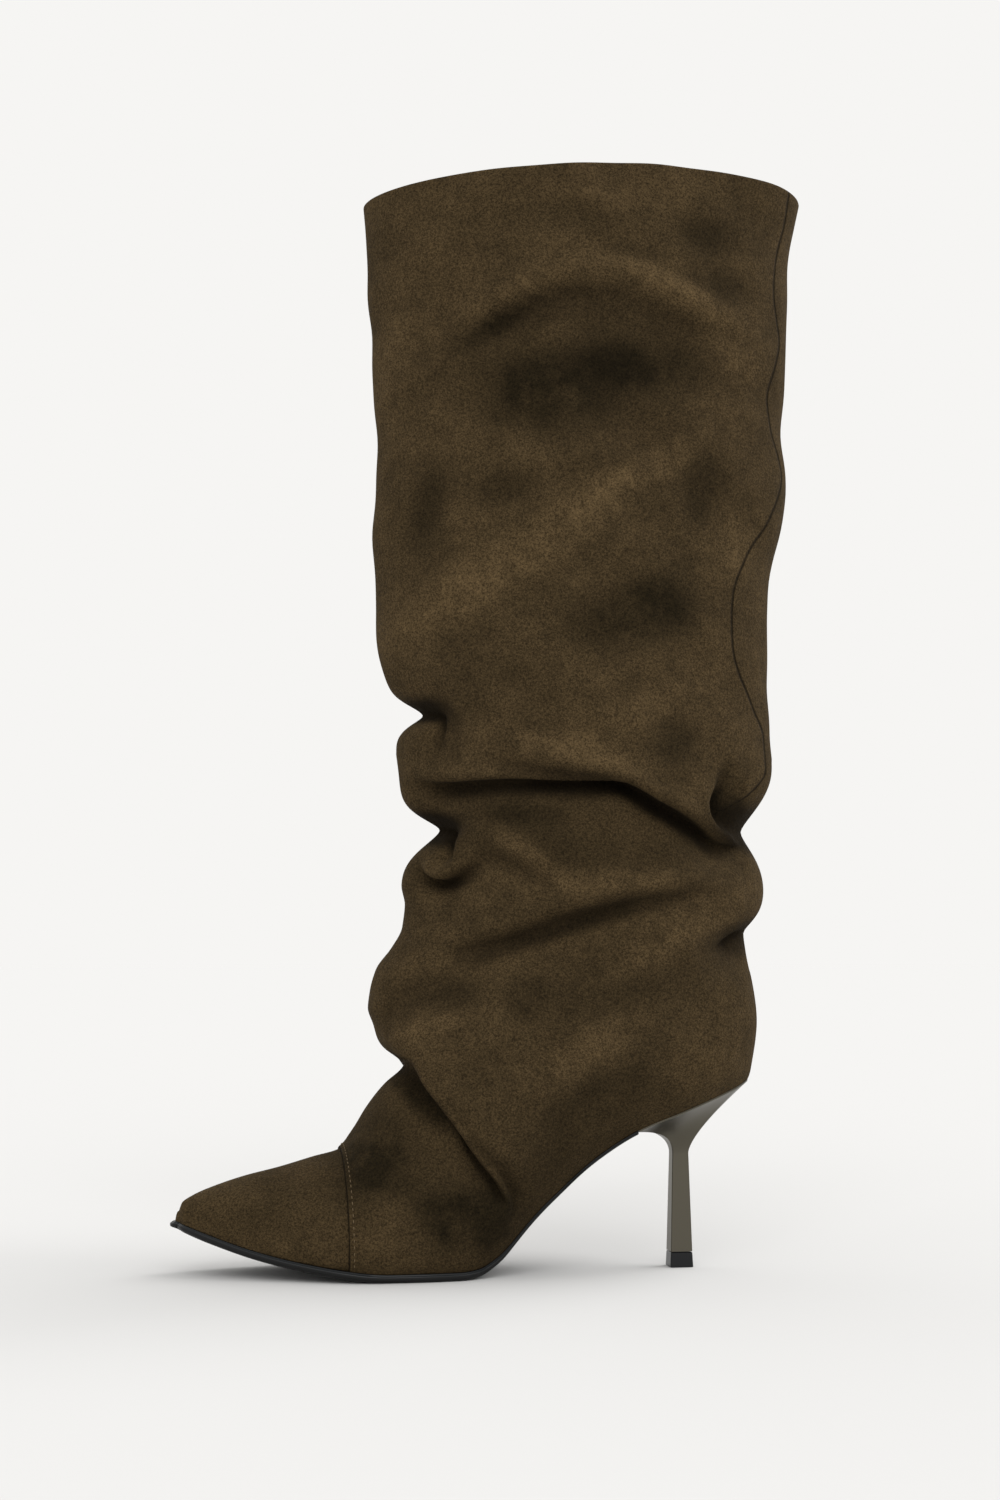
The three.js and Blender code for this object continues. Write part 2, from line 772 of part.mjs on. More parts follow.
// The heel's top edge: the feather line behind the breast, divided like the square loops.
function seatLoop(drop) {
  const pairs = [pairAt(featherPairs, breast), ...featherPairs.filter(([outer]) => outer.x > breast + stationMargin)];
  const rim = [...pairs.map(([outer]) => outer), ...pairs.map(([, inner]) => inner).reverse()];
  const lengths = rim.map((point, i) => (i === 0 ? 0 : point.distanceTo(rim[i - 1])));
  const travelled = lengths.map((unused, i) => lengths.slice(0, i + 1).reduce((sum, length) => sum + length, 0));
  const whole = travelled[travelled.length - 1];
  const rimX = curveThrough(rim.map((point, i) => [travelled[i] / whole, point.x]));
  const rimY = curveThrough(rim.map((point, i) => [travelled[i] / whole, point.y]));
  const onRim = seatSideRows.flatMap(([from, to]) => {
    return numbersFrom(from, to, (to - from) / heelSideSteps).map((t) => new THREE.Vector2(rimX(t), rimY(t)));
  });
  const [first, last] = [onRim[0], onRim[onRim.length - 1]];
  const inset = heelCorner / first.distanceTo(last);
  const front = numbersFrom(inset, 1 - inset, (1 - 2 * inset) / heelSideSteps).map((t) => {
    return last.clone().lerp(first, t).setX(breast);
  });
  return [...onRim, ...front].map((point) => new THREE.Vector3(point.x, point.y, feather(point.x) - drop));
}

// The heel rises square from its foot to its neck, then flares out to the seat.
function makeHeel() {
  const foot = liftHeight + gap;
  const stem = numbersFrom(0, 1, 1 / columnSteps).map((t) => {
    const size = THREE.MathUtils.lerp(heelFootSize, neckSize, t);
    return squareLoop(size, heelCorner, THREE.MathUtils.lerp(foot, neckHeight, t));
  });
  const neck = stem[stem.length - 1];
  const seat = seatLoop(seatRim);
  // How high the flare climbs before it turns out, as a share of the way to the seat:
  // tall under the breast, lower at the sides and lowest at the back.
  const climb = curveThrough([
    [-1, 1.02],
    [-0.3, 0.75],
    [0.4, 0.4],
    [1, 0.24],
  ]);
  const flare = numbersFrom(0, 1, 1 / flareSteps).slice(1).map((t) => {
    return neck.map((point, k) => {
      const end = seat[k];
      const facing = (2 * point.x) / neckSize;
      const turn = new THREE.Vector3(point.x, point.y, THREE.MathUtils.lerp(neckHeight, end.z, climb(facing)));
      return new THREE.QuadraticBezierCurve3(point, turn, end).getPoint(t);
    });
  });
  return loft([...stem, ...flare, seatLoop(0)]);
}

function makeTopLift() {
  const size = heelFootSize + liftFlare;
  return loft([
    squareLoop(size + liftFlare, heelCorner, 0),
    squareLoop(size, heelCorner, liftHeight / 2),
    squareLoop(size - liftFlare, heelCorner, liftHeight),
  ]);
}

const microsuede = new THREE.MeshStandardMaterial({ color: "#372c1f", roughness: 0.95, metalness: 0 });
const blackRubber = new THREE.MeshStandardMaterial({ color: "#1c1c1b", roughness: 0.45, metalness: 0 });
const footbed = new THREE.MeshStandardMaterial({ color: "#8a7458", roughness: 0.7, metalness: 0 });
const gunmetalPlate = new THREE.MeshStandardMaterial({ color: "#5b564b", roughness: 0.25, metalness: 0.8 });

const boot = new THREE.Group();

function addPiece(name, geometry, material) {
  const mesh = new THREE.Mesh(geometry, material);
  mesh.name = name;
  boot.add(mesh);
}

addPiece("upper", makeUpper(), microsuede);
addPiece("outsole", makeOutsole(), blackRubber);
addPiece("insole", makeInsole(), footbed);
addPiece("heel", makeHeel(), gunmetalPlate);
addPiece("top_lift", makeTopLift(), blackRubber);

export default boot;
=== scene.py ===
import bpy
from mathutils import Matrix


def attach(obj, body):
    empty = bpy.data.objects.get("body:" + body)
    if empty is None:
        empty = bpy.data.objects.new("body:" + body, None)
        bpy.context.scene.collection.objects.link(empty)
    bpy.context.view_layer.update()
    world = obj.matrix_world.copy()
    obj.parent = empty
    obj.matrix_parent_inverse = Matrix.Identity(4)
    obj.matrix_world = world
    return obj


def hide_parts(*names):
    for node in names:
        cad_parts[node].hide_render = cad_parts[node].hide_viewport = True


bl_info = {
    "name": "Tall Slouched Boot",
    "version": (1, 0, 0),
    "blender": (4, 5, 0),
    "location": "View3D > Sidebar > Boot",
    "description": "Builds the leather, seams, sole and heel of a tall slouched boot, and its studio",
    "category": "Add Mesh",
}

from typing import NamedTuple

import bpy
import numpy as np
from bpy.props import FloatProperty, FloatVectorProperty, IntProperty, PointerProperty
from mathutils import Vector

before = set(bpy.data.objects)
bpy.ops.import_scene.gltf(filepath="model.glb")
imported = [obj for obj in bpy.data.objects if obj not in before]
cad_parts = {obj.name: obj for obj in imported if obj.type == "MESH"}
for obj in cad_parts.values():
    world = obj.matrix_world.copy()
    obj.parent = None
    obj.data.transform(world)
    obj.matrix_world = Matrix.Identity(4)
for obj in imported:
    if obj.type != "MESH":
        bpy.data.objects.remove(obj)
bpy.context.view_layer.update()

MM = 0.001

# The boot's underside from the heel to the toe. Columns: share of the foot's length from the heel,
# of the heel's height, of the toe spring, and of the sole's thickness that lies on it.
UNDERSIDE_ROWS = [
    (0, 1, 0, 0.45),
    (0.075, 0.908, 0, 0.45),
    (0.15, 0.818, 0, 0.45),
    (0.228, 0.722, 0, 0.45),
    (0.297, 0.587, 0, 0.48),
    (0.349, 0.455, 0, 0.52),
    (0.394, 0.326, 0, 0.6),
    (0.438, 0.182, 0, 0.7),
    (0.472, 0.072, 0, 0.85),
    (0.504, 0.012, 0, 0.95),
    (0.532, 0, 0, 1),
    (0.653, 0, 0, 1),
    (0.686, 0, 0.02, 1),
    (0.73, 0, 0.09, 1),
    (0.802, 0, 0.25, 1),
    (0.875, 0, 0.48, 1),
    (0.944, 0, 0.78, 1),
    (1, 0, 1.07, 0.9),
]

# Rings of the last are numbered from the toe tip to the collar. Each joins a point of the ridge,
# the middle line down the front, to a point of the keel, the middle line below and behind.
# Columns: ring, share of the foot's length from the heel, share of the vamp's height over the sole.
VAMP_RIDGE_ROWS = [
    (0, 1, 0.052),
    (1, 0.9945, 0.1),
    (2, 0.972, 0.168),
    (3, 0.931, 0.259),
    (4, 0.885, 0.345),
    (5, 0.831, 0.424),
    (6, 0.774, 0.506),
    (7, 0.728, 0.566),
    (8, 0.705, 0.66),
    (9, 0.683, 0.776),
    (10, 0.656, 0.9),
    (11, 0.629, 1.015),
]
# Columns: ring, share of the shaft's depth from the leg's middle, share of the leg's height.
SHIN_RIDGE_ROWS = [
    (12, -0.446, 0.035),
    (13, -0.47, 0.06),
    (14, -0.484, 0.08),
    (15, -0.481, 0.097),
    (16, -0.467, 0.12),
    (17, -0.433, 0.144),
    (18, -0.408, 0.167),
    (19, -0.402, 0.19),
    (20, -0.413, 0.213),
    (21, -0.416, 0.238),
    (22, -0.417, 0.267),
    (23, -0.418, 0.295),
    (24, -0.42, 0.323),
    (25, -0.421, 0.351),
    (26, -0.423, 0.379),
    (27, -0.43, 0.405),
    (28, -0.449, 0.436),
    (29, -0.464, 0.472),
    (30, -0.472, 0.513),
    (31, -0.475, 0.564),
    (32, -0.473, 0.628),
    (33, -0.472, 0.692),
    (34, -0.475, 0.756),
    (35, -0.483, 0.82),
    (36, -0.493, 0.885),
    (37, -0.498, 0.936),
    (38, -0.5, 0.972),
]
# Columns: ring, share of the foot's length from the heel.
SOLE_KEEL_ROWS = [
    (0, 0.9985),
    (1, 0.993),
    (2, 0.969),
    (3, 0.93),
    (4, 0.885),
    (5, 0.832),
    (6, 0.776),
    (7, 0.722),
    (8, 0.665),
    (9, 0.6),
    (10, 0.532),
    (11, 0.462),
    (12, 0.407),
    (13, 0.359),
    (14, 0.306),
    (15, 0.246),
    (16, 0.182),
    (17, 0.118),
    (18, 0.065),
]
# Columns: ring, share of the foot's length from the heel, share of the leg's height.
HEEL_CUP_ROWS = [
    (19, 0.026, -0.012),
    (20, 0.008, 0.009),
    (21, 0.001, 0.04),
    (22, 0, 0.078),
]
# Columns: ring, share of the shaft's depth from the leg's middle, share of the leg's height.
CALF_KEEL_ROWS = [
    (23, 0.38, 0.12),
    (24, 0.396, 0.162),
    (25, 0.404, 0.205),
    (26, 0.411, 0.249),
    (27, 0.414, 0.292),
    (28, 0.42, 0.337),
    (29, 0.417, 0.386),
    (30, 0.409, 0.441),
    (31, 0.412, 0.508),
    (32, 0.43, 0.584),
    (33, 0.459, 0.663),
    (34, 0.451, 0.736),
    (35, 0.461, 0.813),
    (36, 0.467, 0.889),
    (37, 0.474, 0.94),
    (38, 0.497, 0.992),
]
# Columns: ring, share of the ball's half width on the outer side, the same on the inner side,
# and the share of it by which the ring's middle lies towards the inner side.
FOOT_GIRTH_ROWS = [
    (0, 0.1, 0.1, 0.13),
    (1, 0.2, 0.19, 0.13),
    (2, 0.33, 0.31, 0.125),
    (3, 0.46, 0.44, 0.115),
    (4, 0.6, 0.57, 0.1),
    (5, 0.74, 0.7, 0.08),
    (6, 0.87, 0.82, 0.06),
    (7, 0.97, 0.92, 0.04),
    (8, 1.01, 0.98, 0.02),
    (9, 1.01, 0.98, 0),
    (10, 0.985, 0.94, -0.02),
    (11, 0.965, 0.91, -0.04),
]
# Columns: ring, share of the ankle's half width on both sides, the same share as above for the middle.
ANKLE_GIRTH_ROWS = [
    (13, 0.975, -0.045),
    (16, 1, -0.025),
    (20, 1, 0),
]
# Columns: ring, share of the shaft's half width.
LEG_GIRTH_ROWS = [
    (23, 0.84),
    (26, 0.89),
    (30, 0.91),
    (34, 0.95),
    (38, 1),
]
# Columns: ring, share of the way from keel to ridge where the ring is widest,
# and how square its front and its back are, where 2 is an ellipse.
SHAPE_ROWS = [
    (0, 0.45, 2.2, 2.6),
    (2, 0.42, 2.1, 2.8),
    (5, 0.34, 2, 3),
    (9, 0.33, 1.85, 3),
    (11, 0.42, 1.9, 2.8),
    (13, 0.5, 2, 2.4),
    (15, 0.5, 2, 2.3),
    (17, 0.5, 2, 2.3),
    (20, 0.46, 1.95, 2.05),
    (24, 0.45, 1.9, 2),
    (30, 0.47, 1.9, 2),
    (38, 0.5, 1.9, 2.1),
]

TOE_SEAM_RING = 7
TOE_SEAM_EDGE = (6.97, 7.05)  # rings between which the toe piece drops below the leg's panel
SOLE_SEAM_EDGE = (4, 7.5)  # the same for the sole's outline, which has no step
COLLAR_RING = 38
COLLAR_ARCH_RINGS = 4
LEVEL_RINGS = (8, 14)  # from the second of these up, folds move the leather level
RING_REACH = 0.2  # rings on each side that a normal is taken over
ANGLE_REACH = 2 * np.pi / 40
SMALLEST_END = 0.02  # the last ring of a rounded end, as a share of its first
COLLAR_LINING_RINGS = (33, 36)  # from the second of these up, the lining follows the leather
SLOUCH_START_RINGS = (7.5, 13)  # the lining's slack grows between the first two and fades over the others
SLOUCH_END_RINGS = (30, 33)

# Rings of the skin. Columns: first ring, last ring, number of steps. They are close where it is slouched.
SKIN_RINGS = [
    (0, 6.9, 44),
    (6.93, 7.09, 6),
    (7.15, 12, 46),
    (12.1, 30, 186),
    (30.12, 38, 62),
]
# The same for the lining, which needs fewer.
LINING_RINGS = [
    (2, 12, 30),
    (12.2, 30, 90),
    (30.2, 37.4, 24),
]


class Fold(NamedTuple):
    """A trough in the leather along a line of the side view, or a ridge where its depth is below zero.

    name: what it is, for the reader.
    line: shares of the shaft's depth from the leg's middle, of the leg's height and of fold_depth.
    above, below: shares of fold_reach to each side of the line.
    roll: share of the depth that the leather rises above the line.
    overhang: share of the depth that the leather above hangs down over the trough.
    side: the side of the foot that it is on.
    """

    name: str
    side: str
    line: list
    above: float
    below: float
    roll: float = 0.0
    overhang: float = 0.0


FOLDS = [
    Fold(
        "upper front pinch",
        "both",
        [
            (-0.5, 0.4, 1.3), (-0.41, 0.399, 1.25), (-0.356, 0.396, 0.8), (-0.338, 0.38, 0.45),
            (-0.335, 0.345, 0),
        ],
        above=0.8,
        below=0.6,
        overhang=0.15,
    ),
    Fold(
        "lower front pinch",
        "both",
        [
            (-0.5, 0.273, 1.8), (-0.4, 0.273, 1.7), (-0.33, 0.268, 0.9), (-0.3, 0.262, 0.2),
            (-0.27, 0.256, 0),
        ],
        above=0.75,
        below=1.1,
    ),
    Fold(
        "front pocket",
        "outer",
        [
            (-0.4, 0.232, 0.3), (-0.378, 0.2195, 0.9), (-0.345, 0.2154, 1), (-0.316, 0.219, 0.8),
            (-0.25, 0.24, 0),
        ],
        above=0.25,
        below=0.8,
        roll=0.4,
        overhang=0.3,
    ),
    Fold(
        "crease under the upper front notch",
        "outer",
        [
            (-0.4, 0.397, 0.2), (-0.362, 0.394, 0.5), (-0.352, 0.38, 0.45), (-0.352, 0.362, 0.2),
            (-0.354, 0.35, 0),
        ],
        above=0.15,
        below=0.3,
    ),
    Fold(
        "crease under the lower front notch",
        "outer",
        [
            (-0.37, 0.272, 0.2), (-0.341, 0.268, 0.5), (-0.333, 0.252, 0.5), (-0.328, 0.238, 0.2),
            (-0.32, 0.225, 0),
        ],
        above=0.18,
        below=0.35,
    ),
    Fold(
        "pocket rim",
        "outer",
        [(-0.36, 0.23, 0), (-0.333, 0.236, -0.25), (-0.318, 0.255, -0.3), (-0.322, 0.272, 0)],
        above=0.25,
        below=0.25,
    ),
    Fold(
        "main fold",
        "outer",
        [
            (-0.413, 0.3205, 0.5), (-0.35, 0.3205, 0.85), (-0.204, 0.3231, 0.9), (-0.102, 0.3235, 1.15),
            (0.025, 0.325, 1.3), (0.12, 0.305, 1.4), (0.225, 0.277, 1.2), (0.29, 0.256, 0.7),
            (0.37, 0.25, 0),
        ],
        above=0.28,
        below=1.2,
        roll=0.2,
        overhang=0.42,
    ),
    Fold(
        "fold above the main fold",
        "outer",
        [
            (-0.265, 0.3538, 0), (-0.163, 0.342, 0.45), (-0.0276, 0.3365, 0.6), (0.05, 0.325, 0.4),
            (0.1, 0.31, 0),
        ],
        above=0.3,
        below=0.5,
        roll=0.3,
        overhang=0.15,
    ),
    Fold(
        "ridge below the main fold",
        "outer",
        [(-0.3, 0.285, 0), (-0.27, 0.27, -0.22), (-0.2, 0.248, -0.25), (-0.12, 0.232, 0)],
        above=0.4,
        below=0.45,
    ),
    Fold(
        "hollow under that ridge",
        "outer",
        [(-0.29, 0.25, 0), (-0.24, 0.238, 0.3), (-0.17, 0.222, 0.25), (-0.1, 0.21, 0)],
        above=0.4,
        below=0.6,
    ),
    Fold(
        "upper back pinch",
        "both",
        [
            (0.264, 0.322, 0), (0.285, 0.3, 0.6), (0.32, 0.283, 1.1), (0.37, 0.273, 1.25),
            (0.45, 0.272, 1.25),
        ],
        above=1.2,
        below=1.5,
    ),
    Fold(
        "back hollow",
        "outer",
        [(0.34, 0.28, 0), (0.3, 0.29, 0.4), (0.275, 0.308, 0.85), (0.275, 0.328, 0.5), (0.3, 0.345, 0)],
        above=0.4,
        below=0.7,
    ),
    Fold(
        "ridge beside the back hollow",
        "outer",
        [(0.225, 0.322, 0), (0.245, 0.3, -0.25), (0.3, 0.274, -0.35), (0.36, 0.254, 0)],
        above=0.25,
        below=0.25,
    ),
    Fold(
        "lower back pinch",
        "both",
        [(0.2, 0.128, 0), (0.26, 0.142, 0.35), (0.32, 0.154, 0.75), (0.37, 0.161, 0.8), (0.45, 0.161, 0.8)],
        above=0.75,
        below=1.6,
    ),
    Fold(
        "lower back crease",
        "outer",
        [(0.241, 0.137, 0), (0.292, 0.148, 0.2), (0.35, 0.16, 0.35), (0.4, 0.163, 0.3)],
        above=0.15,
        below=0.4,
        overhang=0.3,
    ),
    Fold(
        "ankle fold",
        "outer",
        [
            (-0.347, 0.1308, 0), (-0.2806, 0.1397, 0.4), (-0.1765, 0.1556, 0.6), (-0.048, 0.179, 0.65),
            (0.0867, 0.1923, 0.5), (0.2143, 0.2, 0.35), (0.3163, 0.2103, 0),
        ],
        above=0.4,
        below=1,
        roll=0.35,
        overhang=0.2,
    ),
    Fold(
        "front ankle hollow",
        "outer",
        [(-0.48, 0.055, 0.1), (-0.4265, 0.0879, 0.4), (-0.349, 0.1041, 0.3), (-0.27, 0.112, 0)],
        above=0.7,
        below=1,
        roll=0.3,
    ),
    Fold(
        "vamp crease",
        "both",
        [
            (-0.5, 0.026, 0.35), (-0.415, 0.0187, 0.35), (-0.382, -0.0026, 0.35), (-0.329, -0.0359, 0.35),
            (-0.265, -0.08, 0.3), (-0.217, -0.1105, 0.2), (-0.202, -0.1287, 0),
        ],
        above=0.4,
        below=0.9,
        roll=0.3,
    ),
    Fold(
        "vamp's overhanging roll",
        "outer",
        [
            (-0.42, 0.022, 0.1), (-0.382, -0.0026, 0.35), (-0.329, -0.0359, 0.4), (-0.265, -0.08, 0.4),
            (-0.217, -0.1105, 0.35), (-0.205, -0.1287, 0),
        ],
        above=0.13,
        below=0.6,
        roll=0.5,
        overhang=0.7,
    ),
    Fold(
        "crease behind the vamp's roll",
        "outer",
        [
            (-0.33, -0.01, 0), (-0.262, -0.062, 0.25), (-0.19, -0.102, 0.42), (-0.18, -0.118, 0.35),
            (-0.192, -0.14, 0),
        ],
        above=0.35,
        below=0.22,
    ),
    Fold(
        "collar hollow",
        "outer",
        [
            (-0.319, 0.7923, 0), (-0.1786, 0.8297, 0.34), (-0.08, 0.846, 0.4), (0.0204, 0.846, 0.4),
            (0.158, 0.823, 0.4), (0.255, 0.809, 0),
        ],
        above=0.5,
        below=1.8,
        roll=0.6,
    ),
    Fold(
        "shaft hollow",
        "outer",
        [(-0.1, 0.74, 0), (-0.0255, 0.76, 0.35), (0.092, 0.692, 0.35), (0.16, 0.66, 0)],
        above=2,
        below=2.4,
    ),
    Fold(
        "shaft ridge",
        "outer",
        [
            (-0.22, 0.652, 0), (-0.1786, 0.6615, -0.15), (-0.046, 0.668, -0.25), (0.0867, 0.6667, -0.1),
            (0.12, 0.66, 0),
        ],
        above=0.9,
        below=0.9,
    ),
    Fold(
        "inner main fold",
        "inner",
        [
            (-0.38, 0.27, 0), (-0.22, 0.295, 0.9), (-0.05, 0.318, 1), (0.12, 0.305, 1),
            (0.25, 0.284, 0.8), (0.36, 0.272, 0),
        ],
        above=0.35,
        below=1.2,
        roll=0.25,
        overhang=0.35,
    ),
    Fold(
        "inner upper fold",
        "inner",
        [(-0.4, 0.398, 0.2), (-0.22, 0.388, 0.5), (-0.05, 0.37, 0.4), (0.1, 0.36, 0)],
        above=0.5,
        below=1,
        roll=0.25,
        overhang=0.2,
    ),
    Fold(
        "inner ankle fold",
        "inner",
        [(-0.4, 0.2, 0), (-0.25, 0.175, 0.4), (-0.05, 0.165, 0.55), (0.15, 0.158, 0.5), (0.33, 0.16, 0)],
        above=0.5,
        below=1.4,
        roll=0.25,
        overhang=0.2,
    ),
]

# The back seam on the outer side, from the collar down into the upper back pinch.
# Columns: share of the shaft's depth from the leg's middle, share of the leg's height.
BACK_SEAM_ROWS = [
    (0.446, 1.02),
    (0.434, 0.956),
    (0.418, 0.921),
    (0.403, 0.872),
    (0.411, 0.851),
    (0.423, 0.826),
    (0.403, 0.787),
    (0.388, 0.756),
    (0.396, 0.723),
    (0.418, 0.697),
    (0.429, 0.67),
    (0.388, 0.619),
    (0.323, 0.569),
    (0.296, 0.533),
    (0.291, 0.479),
    (0.306, 0.446),
    (0.352, 0.405),
    (0.383, 0.374),
    (0.383, 0.341),
    (0.352, 0.313),
    (0.316, 0.3),
]

# Light and dark strokes on the leg and vamp, with the leather a little proud or sunk there: partly the nap's
# own tone, partly painted light on raised dents and painted shade in sunk dents and over the vamp. Columns:
# share of the shaft's depth from the leg's middle, share of the leg's height, half length and half width as
# shares of the shaft's depth, tilt in degrees, and tone from -1, dark, to 1, light.
NAP_AND_SHADE_STROKES = [
    (-0.17, 0.856, 0.135, 0.024, 25, 0.6),
    (0.174, 0.853, 0.175, 0.03, -22, 0.8),
    (-0.225, 0.819, 0.115, 0.022, 32, -0.8),
    (-0.115, 0.742, 0.175, 0.095, 5, -1),
    (0.119, 0.776, 0.15, 0.068, -15, -0.8),
    (0.091, 0.662, 0.16, 0.038, 28, 0.6),
    (-0.211, 0.554, 0.31, 0.054, 32, 0.8),
    (-0.376, 0.615, 0.095, 0.04, 80, -0.6),
    (0.222, 0.648, 0.08, 0.055, 80, -0.9),
    (0.078, 0.501, 0.15, 0.08, 20, -1),
    (0.229, 0.923, 0.08, 0.04, 0, -0.6),
    (-0.087, 0.937, 0.095, 0.034, 0, -0.5),
    (-0.019, 0.95, 0.06, 0.027, -20, 0.6),
    (0.284, 0.869, 0.06, 0.04, 0, -0.6),
    (0.298, 0.789, 0.08, 0.04, -10, 0.5),
    (0.27, 0.574, 0.075, 0.055, 60, 0.4),
    (-0.445, 0.789, 0.15, 0.04, 88, 0.3),
    (-0.225, 0.635, 0.08, 0.04, 20, -0.6),
    (-0.082, 0.362, 0.145, 0.03, -8, 0.6),
    (0.147, 0.368, 0.06, 0.042, 0, -0.6),
    (0.099, 0.403, 0.12, 0.03, 25, 0.4),
    (-0.154, 0.239, 0.13, 0.022, -38, 0.6),
    (0.026, 0.216, 0.155, 0.026, 0, 0.5),
    (-0.202, 0.286, 0.095, 0.03, 0, -0.4),
    (0.195, 0.198, 0.155, 0.028, 12, 0.5),
    (0.002, 0.178, 0.24, 0.022, 18, -0.6),
    (0.147, 0.148, 0.19, 0.034, 28, 0.5),
    (0.0, 0.0455, 0.156, 0.041, 30, 0.5),
    (-0.174, 0.09, 0.055, 0.046, 60, -0.7),
    (-0.321, 0.09, 0.074, 0.032, 10, -0.6),
    (-0.339, 0.063, 0.1, 0.023, 15, 0.4),
    (-0.018, -0.022, 0.14, 0.06, 30, -0.6),
    (-0.404, -0.008, 0.09, 0.026, -52, -0.9),
    (-0.504, -0.084, 0.05, 0.04, 0, -0.4),
    (-0.459, -0.13, 0.055, 0.037, 0, 0.3),
    (-0.48, -0.07, 0.15, 0.12, -40, -0.8),
    (-0.3, -0.14, 0.12, 0.07, 10, -0.8),
    (-0.05, 0.262, 0.42, 0.09, -6, -0.4),
    (0.1, 0.1, 0.4, 0.1, 20, -0.3),
    (-0.1, -0.12, 0.3, 0.12, 30, -0.5),
    (-0.714, -0.125, 0.14, 0.06, 15, -0.35),
]

# Soft unevenness of the leg. Columns: waves over the shaft's depth, waves over the leg's height,
# start in radians, share of its depth.
UNEVEN_ROWS = [
    (2.1, 5.2, 0.4, 0.4),
    (-3.4, 7.7, 2.1, 0.3),
    (4.3, 10.9, 4.0, 0.25),
    (5.9, -6.3, 1.3, 0.2),
    (-6.8, 15.1, 5.2, 0.15),
]

# The outsole's edge. Columns: share of its thickness from the top, distance out in shares of the lip.
SOLE_EDGE_ROWS = [
    (0, 0.3),
    (0.02, 0.5),
    (0.14, 0.54),
    (0.19, 0.7),
    (0.25, 0.93),
    (0.32, 1),
    (0.6, 1),
    (0.74, 0.86),
    (0.87, 0.4),
    (0.96, -0.05),
    (1, -0.4),
]
SHEEN_EDGE_ROWS = 5  # rows of the edge's top that are paler and glossier: the paler colour is a painted highlight for its sheen line
SKY_TONE = "#f6f5f3"

# How high the heel's flare climbs before it turns out, as a share of the way to the seat, by the side
# it is on: -1 is the breast and 1 the back.
FLARE_CLIMB_ROWS = [
    (-1, 0.98),
    (-0.3, 0.7),
    (0.4, 0.42),
    (1, 0.24),
]
# The heel seat's rim is divided into the outer side, the back and the inner side, by shares of its length.
SEAT_SIDE_ROWS = [
    (0, 0.36),
    (0.38, 0.62),
    (0.64, 1),
]


def millimetres(name, description, value):
    """A length setting, given in millimetres and kept in metres."""
    return FloatProperty(name=name, description=description, default=value * MM, unit="LENGTH", precision=4)


class BootSizes(bpy.types.PropertyGroup):
    """The boot's driving sizes."""

    foot_length: millimetres("Foot Length", "Toe tip to the back of the heel, along the floor", 248)
    heel_set_in: millimetres("Heel Set In", "Middle of the heel tip to the back of the heel", 34)
    heel_height: millimetres("Heel Height", "Floor to the underside at the back of the heel", 80)
    toe_spring: millimetres("Toe Spring", "Floor to the sole under the toe tip", 18)
    vamp_height: millimetres("Vamp Height", "Sole to the crease where the leg folds over the vamp", 84)
    ball_width: millimetres("Ball Width", "Width of the last at the ball of the foot", 80)
    ankle_width: millimetres("Ankle Width", "Width of the leather at the ankle", 81)
    leg_height: millimetres("Leg Height", "Underside at the back of the heel to the collar's back", 390)
    shaft_depth: millimetres("Shaft Depth", "Front to back at the collar", 196)
    shaft_width: millimetres("Shaft Width", "Side to side at the collar", 102)
    leg_set_in: millimetres("Leg Set In", "Back of the heel to the middle of the leg", 74)
    collar_arch: millimetres("Collar Arch", "How much higher the collar is at its sides", 3.5)
    fold_depth: millimetres("Fold Depth", "What a share of 1 moves the leather in a fold", 10)
    fold_reach: millimetres("Fold Reach", "How far a share of 1 spreads a fold", 10)
    unevenness: millimetres("Unevenness", "How far the leg's leather wavers between its folds", 0.9)
    nap_relief: millimetres("Nap Relief", "How far brushed strokes are proud or sunk", 1.5)
    wall: millimetres("Wall", "Leather and lining together", 1.8)
    lining_slack: millimetres("Lining Slack", "How far the lining stands off the folds", 17)
    lining_ease: millimetres("Lining Ease", "How far the lining stands off the leather elsewhere", 2.5)
    toe_step: millimetres("Toe Step", "How far the leg's panel stands proud of the toe piece", 0.9)
    keel_drop: millimetres("Keel Drop", "How far the last passes below the leather's lower edge", 7)
    sole_thickness: millimetres("Sole Thickness", "Thickness of the outsole under the ball", 3.4)
    sole_lip: millimetres("Sole Lip", "How far the sole's edge stands out", 1.1)
    insole_thickness: millimetres("Insole Thickness", "Thickness of the footbed", 2.2)
    insole_gap: millimetres("Insole Gap", "Room round the footbed", 0.5)
    gap: millimetres("Gap", "Between pieces that touch", 0.3)
    breast_set_in: millimetres("Breast Set In", "Front edge of the heel to the back of the heel", 56.5)
    neck_height: millimetres("Neck Height", "Floor to the narrowest part of the heel", 48)
    neck_size: millimetres("Neck Size", "Side of the heel's square at its neck", 7.1)
    heel_foot_size: millimetres("Heel Foot Size", "Side of the heel's square at its foot", 9.4)
    heel_corner: millimetres("Heel Corner", "Radius of the heel's upright corners", 0.5)
    seat_rim: millimetres("Seat Rim", "Thickness of the heel's rim under the leather", 0.6)
    lift_height: millimetres("Lift Height", "Height of the top lift", 6.4)
    lift_flare: millimetres("Lift Flare", "How much the top lift widens to the floor", 0.3)
    tip_bulge: millimetres("Tip Bulge", "How far the toe tip rounds forward", 1.6)
    collar_turn: millimetres("Collar Turn", "How deep the leather is turned in at the collar", 14)
    stitch_pitch: millimetres("Stitch Pitch", "From one stitch to the next", 2.6)
    stitch_length: millimetres("Stitch Length", "Length of a stitch that shows", 1.35)
    stitch_thickness: millimetres("Stitch Thickness", "Thickness of the sewing thread", 0.36)
    stitch_set_back: millimetres("Stitch Set Back", "Cut edge of the leg's panel to the stitches", 2)


